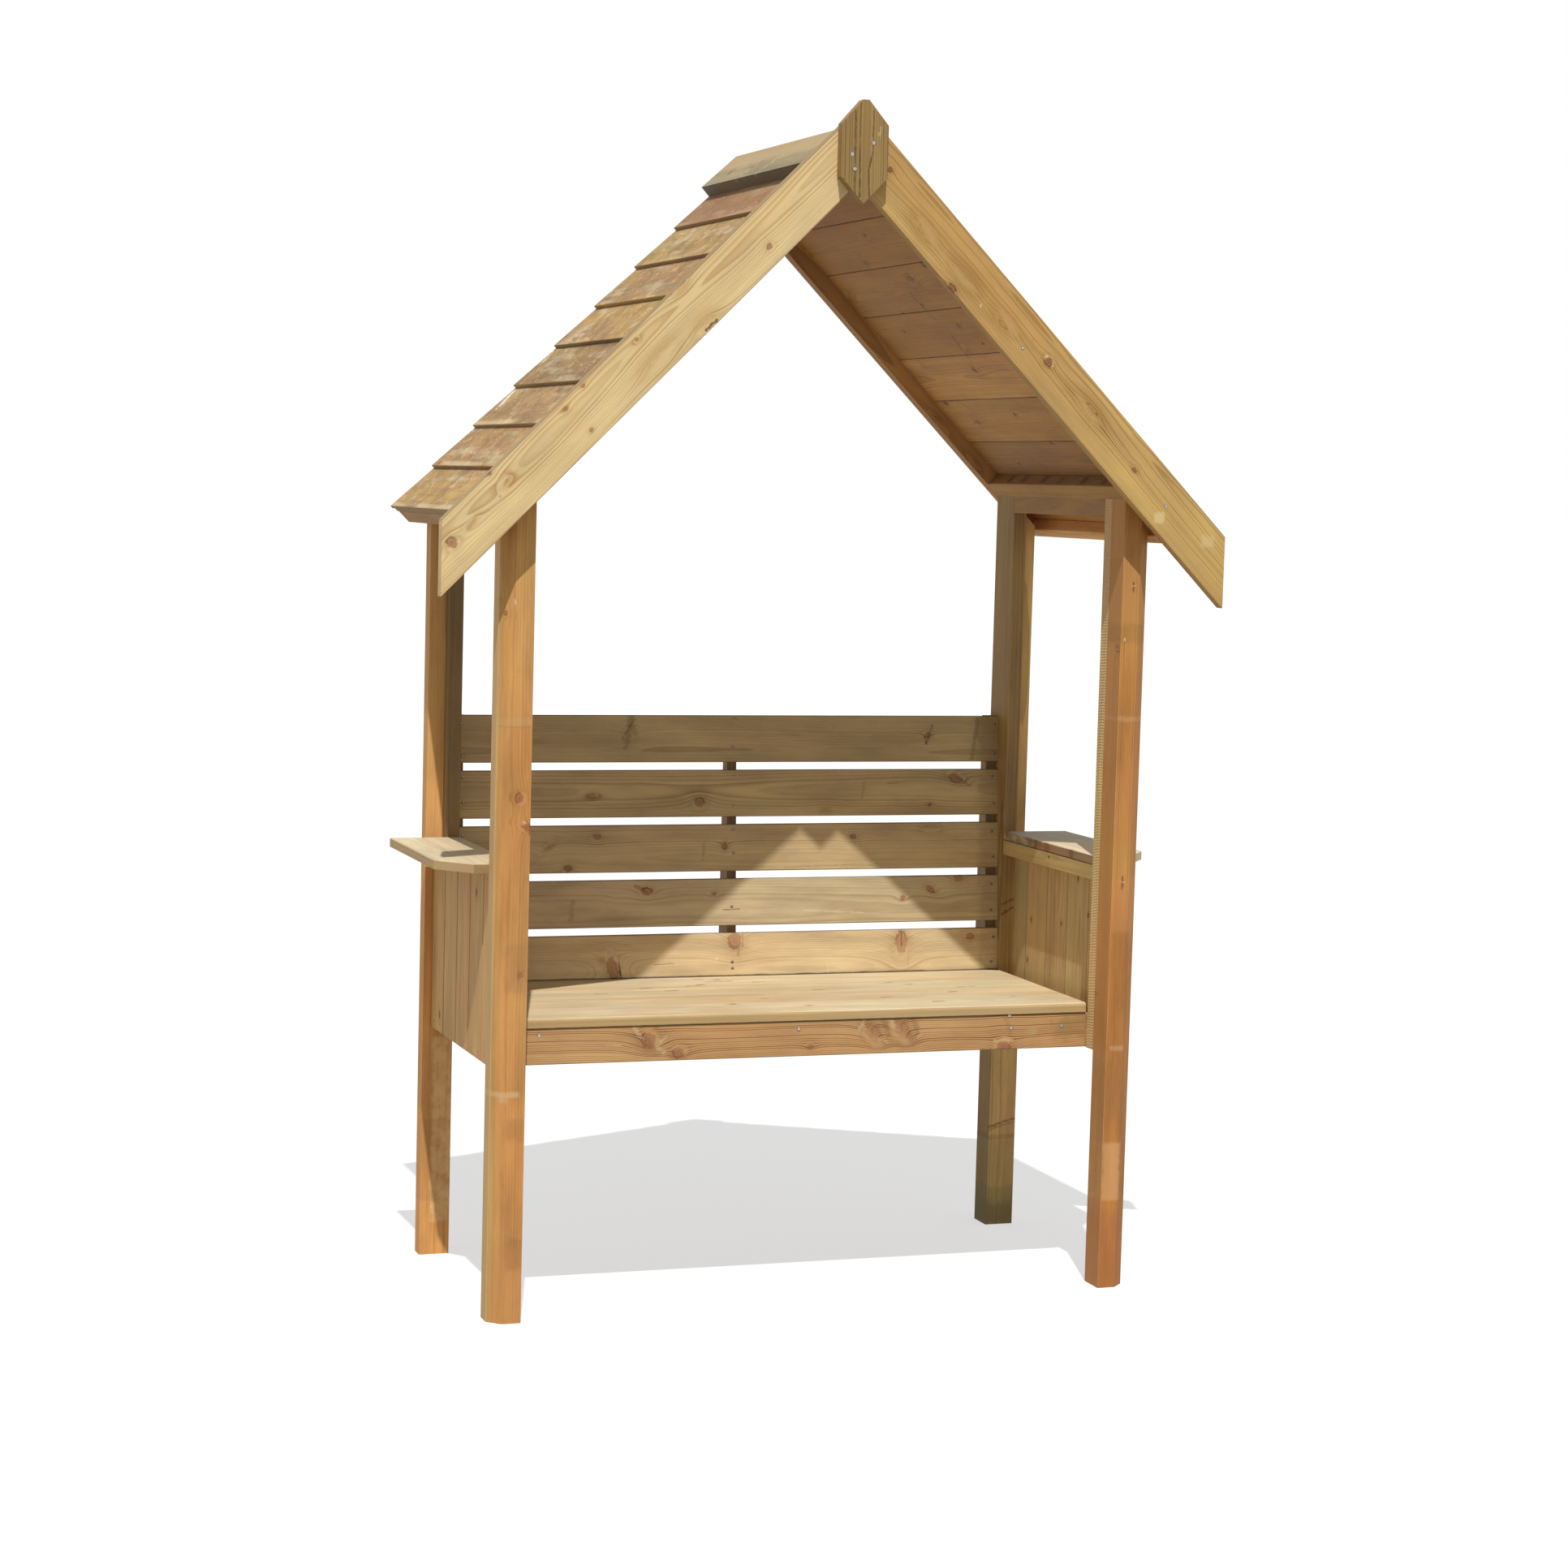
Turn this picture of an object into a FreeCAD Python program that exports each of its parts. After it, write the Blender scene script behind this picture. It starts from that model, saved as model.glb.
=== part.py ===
import FreeCAD, Part
import math
import os

# Garden arbour seat in softwood: millimetres, Z up, the open front faces -Y.
# Heights start at the ground; depths are worked out from the front faces of the front posts.
# The slope of the roof is described by two lengths: down the slope from the apex, and out from
# the underside of the roof boards.

# Plan of the frame
inner_width = 1060.0
frame_depth = 570.0
post_size = 55.0
post_chamfer = 22.0

# Sawn and planed stock
batten_size = 28.0
stile_wide = 25.0
slat_thick = 18.0
seat_thick = 18.0
shelf_thick = 16.0
side_board_thick = 15.0

# Fits between pieces
saw_gap = 0.2
tongue_gap = 0.25
arris = 1.5

# Seat, arms and side windows
side_bottom = 420.0
seat_rail_deep = 62.0
seat_setback = 91.0
seat_board_count = 4
seat_nosing = 6.0
seat_overhang = 1.5
seat_back_gap = 4.0
bearer_deep = 45.0
shelf_top = 766.0
shelf_reach = 127.0
shelf_clip_out = 53.0
shelf_clip_back = 66.0
top_rail_deep = 31.0

# Tongued and grooved sides
side_board_count = 5
tongue_long = 7.0
tongue_thick = 5.0
joint_vee = 3.0

# Slatted back
slat_count = 5
slat_wide = 87.0
slat_gap = 14.0
slat_bottom = 493.0
back_lean = 4.1
back_forward = 18.0
back_batten_wide = 18.0
middle_batten_short = 5.0

# Roof timbers, each described by its depth square to the slope
apex_high = 1970.0
purlin_deep = 28.0
purlin_wide = 70.0
purlin_lip = 30.5
rafter_deep = 28.0
rafter_thick = 28.0
eaves_wide = 20.0
eaves_clear = 6.5

# Roof boards, rebated along the lower edge
roof_board_count = 8
roof_first_edge = 150.0
roof_thin = 9.0
roof_thick = 16.0
roof_lap = 14.0
roof_joint = 1.2
roof_overhang = 10.0
roof_drip = 3.0
cap_wide = 60.0
cap_thick = 22.0

# Bargeboards and finial
barge_wide = 88.0
barge_thick = 22.0
barge_drop = 38.5
barge_overhang = 115.0
finial_wide = 82.0
finial_thick = 20.0
finial_flat = 11.0
finial_rise = 78.0
finial_shoulder_rise = 37.5
finial_hip_drop = 49.0
finial_drop = 92.0

# Values that follow from the sizes above
half = inner_width / 2
post_out = half + post_size
stile_out = half + stile_wide
root2 = math.sqrt(2.0)
stile_front = post_size
stile_back = frame_depth - post_size
bay_front = stile_front + batten_size
bay_back = stile_back - batten_size
seat_rail_top = side_bottom + seat_rail_deep
seat_top = seat_rail_top + seat_thick
shelf_under = shelf_top - shelf_thick
purlin_start = (2 * half + purlin_deep * root2) / root2 - purlin_lip
eaves_start = (post_out + eaves_clear) * root2 + rafter_deep
eaves_end = eaves_start + eaves_wide
roof_last_edge = eaves_end + roof_drip
roof_pitch = (roof_last_edge - roof_first_edge) / (roof_board_count - 1)
back_long = slat_count * slat_wide + (slat_count - 1) * slat_gap
back_foot = stile_back - back_forward
roof_front = -rafter_thick
rear_rafter_back = frame_depth + rafter_thick
roof_back = rear_rafter_back + roof_overhang
barge_front = roof_front - barge_thick
finial_front = barge_front - finial_thick
finial_top = apex_high + finial_rise
finial_shoulder = apex_high + finial_shoulder_rise
finial_hip = apex_high - finial_hip_drop
finial_bottom = apex_high - finial_drop
depth_middle = (finial_front + roof_back) / 2
barge_half_span = post_out + barge_overhang


def slope_point(down, out):
    """Return the X and Z of a point on the right slope of the roof."""
    across = (down + out) / root2
    fall = (down - out) / root2
    return (across, apex_high - fall)


def bevel_height(x):
    """Return the height of the underside of the purlin's bearing at a distance from the middle."""
    return apex_high - purlin_deep * root2 - abs(x)


def back_point(behind, along):
    """Return the Y and Z of a point behind the front of the leaning back and so far up along it."""
    lean = math.radians(back_lean)
    y = back_foot + behind * math.cos(lean) + along * math.sin(lean)
    z = slat_bottom - behind * math.sin(lean) + along * math.cos(lean)
    return (y, z)


def closed_face(points):
    """Return a flat face round a ring of points."""
    ring = list(points)
    ring.append(ring[0])
    return Part.Face(Part.makePolygon(ring))


def prism_x(outline, x0, x1):
    """Extrude an outline given in Y and Z from one side to another."""
    face = closed_face([FreeCAD.Vector(x0, y, z) for y, z in outline])
    return face.extrude(FreeCAD.Vector(x1 - x0, 0, 0))


def prism_y(outline, y0, y1):
    """Extrude an outline given in X and Z from one depth to another."""
    face = closed_face([FreeCAD.Vector(x, y0, z) for x, z in outline])
    return face.extrude(FreeCAD.Vector(0, y1 - y0, 0))


def prism_z(outline, z0, z1):
    """Extrude an outline given in X and Y from one height to another."""
    face = closed_face([FreeCAD.Vector(x, y, z0) for x, y in outline])
    return face.extrude(FreeCAD.Vector(0, 0, z1 - z0))


def bar(x0, x1, y0, y1, z0, z1):
    """Return a straight piece of timber between two corners."""
    return Part.makeBox(x1 - x0, y1 - y0, z1 - z0, FreeCAD.Vector(x0, y0, z0))


def eased(piece, length_axis):
    """Take the sharpness off the long edges of a straight piece."""
    long_edges = []
    for edge in piece.Edges:
        ends = edge.Vertexes
        if len(ends) == 2:
            run = ends[1].Point - ends[0].Point
            run.normalize()
            if abs(run.dot(length_axis)) > 0.999:
                long_edges.append(edge)
    return piece.makeChamfer(arris, long_edges)


def mirrored(piece):
    """Return the left-hand copy of a right-hand piece."""
    return piece.mirror(FreeCAD.Vector(0, 0, 0), FreeCAD.Vector(1, 0, 0))


along_x = FreeCAD.Vector(1, 0, 0)
along_y = FreeCAD.Vector(0, 1, 0)
along_z = FreeCAD.Vector(0, 0, 1)


def right_post(y0, chamfer_at_front):
    """A post with its top cut to the roof slope and its outward arris planed off."""
    outline = [(half, 0), (post_out, 0), (post_out, bevel_height(post_out)), (half, bevel_height(half))]
    post = prism_y(outline, y0, y0 + post_size)
    corner_y = y0 if chamfer_at_front else y0 + post_size
    inward = post_chamfer if chamfer_at_front else -post_chamfer
    corner = [(post_out - post_chamfer, corner_y), (post_out, corner_y), (post_out, corner_y + inward)]
    return post.cut(prism_z(corner, 0, bevel_height(half)))


def right_stile(y0):
    """An upright fixed to the inside of a post, with the same bevelled top."""
    top_in = bevel_height(half)
    top_out = bevel_height(stile_out)
    outline = [(half, side_bottom), (stile_out, side_bottom), (stile_out, top_out), (half, top_in)]
    return prism_y(outline, y0, y0 + batten_size)


def right_top_rail():
    """The rail over the side window, bevelled to carry the purlin."""
    low = bevel_height(half) - top_rail_deep
    outline = [(half, low), (stile_out, low), (stile_out, bevel_height(stile_out)), (half, bevel_height(half))]
    return prism_y(outline, bay_front, bay_back)


def right_arm_rail():
    """The rail under the shelf."""
    rail = bar(half, stile_out, bay_front, bay_back, shelf_under - batten_size, shelf_under)
    return eased(rail, along_y)


def right_bottom_rail():
    """The rail at the foot of the side, which also carries the seat rails."""
    return eased(bar(half, stile_out, bay_front, bay_back, side_bottom, seat_rail_top), along_y)


def right_side_boards():
    """Tongued and grooved boards that close the side below the shelf, front board first."""
    pitch = (stile_back - stile_front - 2 * saw_gap) / side_board_count
    x0 = stile_out
    x1 = x0 + side_board_thick
    middle = (x0 + x1) / 2
    tongue_in = middle - tongue_thick / 2
    tongue_out = middle + tongue_thick / 2
    boards = []
    for index in range(side_board_count):
        y0 = stile_front + saw_gap + index * pitch
        y1 = y0 + pitch
        outline = [(x0, y0)]
        if index > 0:
            depth = y0 + tongue_long + tongue_gap
            outline = [(x0, y0 + tongue_gap), (tongue_in - tongue_gap, y0 + tongue_gap)]
            outline += [(tongue_in - tongue_gap, depth), (tongue_out + tongue_gap, depth)]
            outline += [(tongue_out + tongue_gap, y0 + tongue_gap), (x1 - joint_vee, y0 + tongue_gap)]
            outline += [(x1, y0 + joint_vee)]
            outline.reverse()
        else:
            outline = [(x1, y0), (x0, y0)]
        if index < side_board_count - 1:
            outline += [(x0, y1), (tongue_in, y1), (tongue_in, y1 + tongue_long)]
            outline += [(tongue_out, y1 + tongue_long), (tongue_out, y1)]
            outline += [(x1 - joint_vee, y1), (x1, y1 - joint_vee)]
        else:
            outline += [(x0, y1), (x1, y1)]
        boards.append(prism_z(outline, side_bottom, shelf_under))
    return boards


def right_shelf():
    """A shelf on the side, cut off at its front outer corner, with eased top edges."""
    out = half + shelf_reach
    y0 = bay_front
    y1 = bay_back
    clip_y = y0 + shelf_clip_back
    outline = [(half, y0), (out - shelf_clip_out, y0), (out, clip_y), (out, y1), (half, y1)]
    shelf = prism_z(outline, shelf_under, shelf_top)
    edges = []
    for edge in shelf.Edges:
        box = edge.BoundBox
        if box.ZMin > shelf_top - 0.1 and box.XMax > half + 1:
            edges.append(edge)
    return shelf.makeChamfer(arris, edges)


def back_slats():
    """The slats of the back, lowest first: made upright, then leant back and set on the foot of the back."""
    slats = []
    for index in range(slat_count):
        low = index * (slat_wide + slat_gap)
        slat = eased(bar(-half + saw_gap, half - saw_gap, 0, slat_thick, low, low + slat_wide), along_x)
        slat.rotate(FreeCAD.Vector(0, 0, 0), along_x, -back_lean)
        slat.translate(FreeCAD.Vector(0, back_foot, slat_bottom))
        slats.append(slat)
    return slats


def back_batten(x_middle, long):
    """A tapered upright behind the slats, which gives them their lean; its back is level with the posts."""
    low = back_point(slat_thick, 0)
    high = back_point(slat_thick, long)
    outline = [low, (frame_depth, low[1]), (frame_depth, high[1]), high]
    reach = back_batten_wide / 2
    return eased(prism_x(outline, x_middle - reach, x_middle + reach), along_z)


def seat_boards():
    """The boards of the seat, front first; the front one has a rounded nosing just over the rail."""
    reach = half - saw_gap
    front = seat_setback - seat_overhang
    pitch = (back_foot - seat_back_gap + saw_gap - front) / seat_board_count
    boards = []
    for index in range(seat_board_count):
        y0 = front + index * pitch
        board = bar(-reach, reach, y0, y0 + pitch - saw_gap, seat_rail_top, seat_top)
        nose = []
        for edge in board.Edges:
            box = edge.BoundBox
            at_front = box.YMax < y0 + 0.1
            if at_front and box.ZMin > seat_top - 0.1:
                nose.append(edge)
        if index == 0:
            board = board.makeFillet(seat_nosing, nose)
        else:
            board = board.makeChamfer(arris / 2, nose)
        boards.append(board)
    return boards


def seat_rail(y0):
    """A rail across the arbour under the seat."""
    return eased(bar(-half, half, y0, y0 + batten_size, side_bottom, seat_rail_top), along_x)


def seat_bearer(x_middle):
    """A short timber from the front seat rail to the rear one."""
    reach = batten_size / 2
    z0 = seat_rail_top - bearer_deep
    return bar(x_middle - reach, x_middle + reach, seat_setback + batten_size, bay_back, z0, seat_rail_top)


def right_purlin():
    """The timber laid square to the slope on the heads of the side frame."""
    low = purlin_start
    high = purlin_start + purlin_wide
    corners = [(low, -purlin_deep), (high, -purlin_deep), (high, 0), (low, 0)]
    return eased(prism_y([slope_point(a, b) for a, b in corners], 0, frame_depth), along_y)


def right_rafter(y0):
    """A rafter cut plumb at the ridge and square against the eaves batten."""
    outline = [(0, apex_high), slope_point(eaves_start, 0), slope_point(eaves_start, -rafter_deep)]
    outline.append((0, apex_high - rafter_deep * root2))
    return prism_y(outline, y0, y0 + rafter_thick)


def right_eaves_batten():
    """The batten that closes the feet of the rafters."""
    corners = [(eaves_start, -rafter_deep), (eaves_end, -rafter_deep), (eaves_end, 0), (eaves_start, 0)]
    batten = prism_y([slope_point(a, b) for a, b in corners], roof_front, rear_rafter_back)
    return eased(batten, along_y)


def right_roof_boards():
    """Feather-edged boards, each rebated over the board below it and the last one over the eaves batten."""
    boards = []
    for index in range(roof_board_count):
        lower = roof_first_edge + index * roof_pitch
        upper = lower - roof_pitch - roof_lap + roof_joint
        if index == 0:
            upper = roof_joint
        shoulder = lower - roof_lap
        if index == roof_board_count - 1:
            shoulder = eaves_end
        lip = roof_thin + roof_joint
        outline = [(upper, 0), (shoulder, 0), (shoulder, lip), (lower, lip), (lower, roof_thick), (upper, roof_thin)]
        points = [slope_point(a, b) for a, b in outline]
        boards.append(prism_y(points, roof_front, roof_back))
    return Part.makeCompound(boards)


def right_ridge_cap():
    """A board over the ridge, cut plumb against its partner and lying on the first roof board."""
    rise = (roof_thick - roof_thin) / (roof_first_edge - roof_joint)
    length = math.hypot(1.0, rise)
    low_out = roof_thin + rise * (cap_wide - roof_joint)
    bed = roof_thin - rise * roof_joint
    cross_out = bed / (1 + rise)
    under = (-cross_out, cross_out)
    over_bed = bed + cap_thick * length
    over_out = over_bed / (1 + rise)
    over = (-over_out, over_out)
    foot = (cap_wide, low_out)
    shift = cap_thick / length
    foot_over = (cap_wide - rise * shift, low_out + shift)
    points = [slope_point(a, b) for a, b in (under, foot, foot_over, over)]
    return prism_y(points, roof_front, roof_back)


def right_bargeboard():
    """A bargeboard cut plumb at both ends, with its upper end under the finial."""
    low = apex_high - barge_drop * root2
    high = low + barge_wide * root2
    points = [(0, low), (0, high), (barge_half_span, high - barge_half_span)]
    points.append((barge_half_span, low - barge_half_span))
    return prism_y(points, barge_front, roof_front)


def finial():
    """The pointed board screwed over the joint of the bargeboards."""
    side = finial_wide / 2
    flat = finial_flat / 2
    outline = [(0, finial_bottom), (side, finial_hip), (side, finial_shoulder), (flat, finial_top)]
    outline += [(-flat, finial_top), (-side, finial_shoulder), (-side, finial_hip)]
    return prism_y(outline, finial_front, barge_front)


nodes = {}


def add_pair(name, piece):
    """Keep a right-hand piece and its mirror image under two names."""
    nodes["right_" + name] = piece
    nodes["left_" + name] = mirrored(piece)


add_pair("front_post", right_post(0, True))
add_pair("rear_post", right_post(stile_back, False))
add_pair("front_stile", right_stile(stile_front))
add_pair("rear_stile", right_stile(bay_back))
add_pair("top_rail", right_top_rail())
add_pair("arm_rail", right_arm_rail())
add_pair("bottom_rail", right_bottom_rail())
for number, board in enumerate(right_side_boards(), 1):
    add_pair("side_board_%d" % number, board)
add_pair("shelf", right_shelf())
add_pair("purlin", right_purlin())
add_pair("front_rafter", right_rafter(roof_front))
add_pair("rear_rafter", right_rafter(frame_depth))
add_pair("eaves_batten", right_eaves_batten())
add_pair("roof_boards", right_roof_boards())
add_pair("ridge_cap", right_ridge_cap())
add_pair("bargeboard", right_bargeboard())
for number, slat in enumerate(back_slats(), 1):
    nodes["back_slat_%d" % number] = slat
outer_batten = half - back_batten_wide / 2
nodes["back_batten_left"] = back_batten(-outer_batten, back_long)
nodes["back_batten_centre"] = back_batten(0, back_long - middle_batten_short)
nodes["back_batten_right"] = back_batten(outer_batten, back_long)
for number, board in enumerate(seat_boards(), 1):
    nodes["seat_board_%d" % number] = board
nodes["front_seat_rail"] = seat_rail(seat_setback)
nodes["rear_seat_rail"] = seat_rail(bay_back)
outer_bearer = half - stile_wide - batten_size * 0.75
nodes["seat_bearer_left"] = seat_bearer(-outer_bearer)
nodes["seat_bearer_centre"] = seat_bearer(0)
nodes["seat_bearer_right"] = seat_bearer(outer_bearer)
nodes["finial"] = finial()

os.makedirs("parts", exist_ok=True)
for name, shape in nodes.items():
    placed = shape.copy()
    placed.translate(FreeCAD.Vector(0, -depth_middle, 0))
    placed.exportStep("parts/" + name + ".step")
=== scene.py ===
"""Looks of the arbour seat: a finish for every timber, the screws and nails, the floor, the light and the camera."""

import math
import random

import bmesh
import bpy
from mathutils import Matrix, Vector


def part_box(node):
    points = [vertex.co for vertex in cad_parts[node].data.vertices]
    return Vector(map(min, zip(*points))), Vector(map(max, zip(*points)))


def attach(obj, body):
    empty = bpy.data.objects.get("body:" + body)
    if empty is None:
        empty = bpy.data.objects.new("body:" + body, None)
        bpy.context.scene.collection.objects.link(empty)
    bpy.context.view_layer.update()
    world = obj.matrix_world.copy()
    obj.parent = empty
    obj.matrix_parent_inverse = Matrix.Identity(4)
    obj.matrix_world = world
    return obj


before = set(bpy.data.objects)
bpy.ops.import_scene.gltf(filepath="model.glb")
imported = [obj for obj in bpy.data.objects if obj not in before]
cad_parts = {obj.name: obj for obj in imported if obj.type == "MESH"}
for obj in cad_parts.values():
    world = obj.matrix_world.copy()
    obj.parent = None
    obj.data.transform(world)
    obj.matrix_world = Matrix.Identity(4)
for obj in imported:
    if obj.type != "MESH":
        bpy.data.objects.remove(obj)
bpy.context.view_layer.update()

MM = 0.001
X, Y, Z = Vector((1, 0, 0)), Vector((0, 1, 0)), Vector((0, 0, 1))
SLOPE = math.sqrt(0.5)
DOWN_LEFT = Vector((-SLOPE, 0, -SLOPE))
DOWN_RIGHT = Vector((SLOPE, 0, -SLOPE))
SIDES = (("left", -1, DOWN_LEFT), ("right", 1, DOWN_RIGHT))

# Where the faces of the part lie, in mm: how far forward or back they are, or how high
POST_FRONT, BARGE_FRONT, FINIAL_FRONT, RAIL_FRONT = -269, -319, -339, -178
REAR_POST_FRONT, REAR_STILE_FRONT = 246, 218
SEAT_TOP, RIDGE = 500, 1970
APEX = Vector((0, 0, RIDGE * MM))

# The slats lean back from their foot, which is so far back and so high
BACK_LEAN = math.radians(4.1)
SLAT_FOOT_Y, SLAT_FOOT_Z = 228, 493
UP_BACK = Vector((0, math.sin(BACK_LEAN), math.cos(BACK_LEAN)))

# Roof boards, in metres: down the slope from the apex to the first board's edge, from edge to edge, and how much
# further up the joints lie on the underside
FIRST_EDGE, COURSE, UNDER_SHIFT = 0.150, 0.10536, 0.0128


# Shader sums

class Value:
    """A number or colour inside a finish, so that shader sums read as ordinary ones."""

    def __init__(self, finish, socket):
        self.finish = finish
        self.socket = socket

    def __add__(self, other):
        return self.finish.maths("ADD", self, other)

    def __radd__(self, other):
        return self.finish.maths("ADD", other, self)

    def __sub__(self, other):
        return self.finish.maths("SUBTRACT", self, other)

    def __rsub__(self, other):
        return self.finish.maths("SUBTRACT", other, self)

    def __mul__(self, other):
        return self.finish.maths("MULTIPLY", self, other)

    def __rmul__(self, other):
        return self.finish.maths("MULTIPLY", other, self)

    def __truediv__(self, other):
        return self.finish.maths("DIVIDE", self, other)

    def __rtruediv__(self, other):
        return self.finish.maths("DIVIDE", other, self)


class Finish:
    """The nodes of one material, or of the sky, with a short name for each kind of step that the finishes use."""

    def __init__(self, name, owner=None):
        self.material = owner or bpy.data.materials.new(name)
        self.material.use_nodes = True
        self.tree = self.material.node_tree
        self.tree.nodes.clear()

    def node(self, kind, settings=None, sockets=None, out=0):
        """Adds a node. Its settings come first, then values or links for its sockets, and out names what it gives."""
        made = self.tree.nodes.new("ShaderNode" + kind)
        for name, value in (settings or {}).items():
            setattr(made, name, value)
        for name, value in (sockets or {}).items():
            if isinstance(value, Value):
                self.tree.links.new(value.socket, made.inputs[name])
            else:
                made.inputs[name].default_value = value
        if isinstance(out, tuple):
            return tuple(Value(self, made.outputs[o]) for o in out)
        return Value(self, made.outputs[out])

    def maths(self, operation, *values):
        return self.node("Math", {"operation": operation}, dict(enumerate(values)))

    def smooth(self, value, start, end):
        """Eases from 0 to 1 while value goes from start to end."""
        return self.node("MapRange", {"interpolation_type": "SMOOTHSTEP"}, {0: value, 1: start, 2: end})

    def point(self, x, y, z):
        return self.node("CombineXYZ", None, {0: x, 1: y, 2: z})

    def reach(self, place, direction, origin):
        """How far place lies from origin along direction."""
        run = self.node("VectorMath", {"operation": "DOT_PRODUCT"}, {0: place, 1: direction}, "Value")
        return run - origin.dot(direction)

    def noise(self, place, detail=2.0, roughness=0.5, out=0):
        """Cloudy noise as coarse as place is scaled."""
        sockets = {"Vector": place, "Scale": 1.0, "Detail": detail, "Roughness": roughness}
        return self.node("TexNoise", None, sockets, out)

    def mix(self, amount, first, second):
        """Lays the second colour over the first."""
        return self.node("Mix", {"data_type": "RGBA"}, {0: amount, 6: first, 7: second}, 2)

    def tint(self, colour, amount):
        """Makes a colour lighter or darker by a factor, or a vector longer or shorter."""
        return self.node("VectorMath", {"operation": "SCALE"}, {0: colour, 3: amount})

    def surface(self, colour, roughness, height, lift, **fixed):
        """Joins it all on the shader. Height is in shares of lift, which is in metres."""
        sockets = {"Base Color": colour, "Roughness": roughness}
        for name, value in fixed.items():
            sockets[name.replace("_", " ")] = value
        sockets["Normal"] = self.node("Bump", None, {"Strength": 1.0, "Distance": lift, "Height": height})
        shader = self.node("BsdfPrincipled", None, sockets)
        self.node("OutputMaterial", None, {"Surface": shader}, ())
        return self.material


def paint(code):
    """A colour written as in a paint chart, as the shader needs it."""
    parts = [int(code[i:i + 2], 16) / 255 for i in (0, 2, 4)]
    return tuple(p / 12.92 if p < 0.04045 else ((p + 0.055) / 1.055) ** 2.4 for p in parts) + (1.0,)


# Softwood

class Timber:
    """How one piece is sawn: the way its grain runs, its wide way and its thin way, its middle and half its width."""

    def __init__(self, node, along, across=None):
        low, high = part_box(node)
        self.centre = (low + high) / 2
        half = (high - low) / 2
        self.along = along
        if across is None:
            rest = (d for d in (X, Y, Z) if d is not along)
            self.into, self.across = sorted(rest, key=lambda d: abs(half.dot(d)))
        else:
            self.across = across
            self.into = along.cross(across)
        self.wide = abs(half.dot(self.across))


LOOKS = {
    # early wood, late wood, sapwood patches, knot, dark rim, how strongly the rings show
    "pale": ("E3C797", "B98C54", "EBD3A5", "B07A56", "54301C", 0.62),
    "honey": ("C79F62", "94652D", "D2AE72", "9C6440", "4A2816", 0.85),
    "orange": ("CD935A", "A0642F", "D8A66C", "AE6E4C", "43261A", 0.55),
    "umber": ("8E6C46", "5E4228", "9A794E", "6A4630", "2E1C12", 0.65),
    "olive": ("A48A5C", "77603A", "AE9868", "6E4A30", "34241A", 0.65),
    "slat": ("C1A47C", "8E7049", "C9AE84", "9A6A4A", "402818", 0.60),
    "slat_low": ("D8BE94", "AE8A5C", "DFC9A0", "B27A58", "4A2A1C", 0.50),
    "seat": ("D4BA8E", "A88456", "DEC8A0", "A87C5C", "5A3A28", 0.68),
    "shelf": ("DCC8A0", "B4935F", "E2D0AC", "A87454", "50301E", 0.50),
    "boarding": ("C49C6C", "98703F", "CEA878", "8A5A3A", "402818", 0.50),
    "roof": ("A58158", "7A5635", "B8965F", "80543A", "35221A", 0.60),
    "lining": ("B98A5C", "8A6038", "C4966A", "86583A", "3A2418", 0.60),
    "weathered": ("9A8F72", "6A5F47", "AAA084", "6A5034", "3A2C1E", 0.50),
    "rail": ("CA9B66", "7E5028", "D6AA74", "A66C4E", "482818", 1.0),
    "finial": ("A08450", "5C4426", "AA9058", "6E4628", "38241A", 0.95),
}
# The last of these is a painted highlight for the roof boards' lower edges
FADED, BLEACHED, LICHEN, PAINTED_EDGE_HIGHLIGHT = (paint(code) for code in ("94744C", "B9A883", "D8B583", "CFBC95"))
GREENISH = (0.86, 0.94, 0.72)

# How many random shifts a finish draws and how far they go, the cells that small knots are scattered in, how many
# radii off a knot counts as where there is none, and how high the grain stands. Lengths are in metres
SHIFTS, SPREAD, KNOT_CELL, FAR_OFF, GRAIN_LIFT = 14, 40, 0.14, 40, 0.00035


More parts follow.
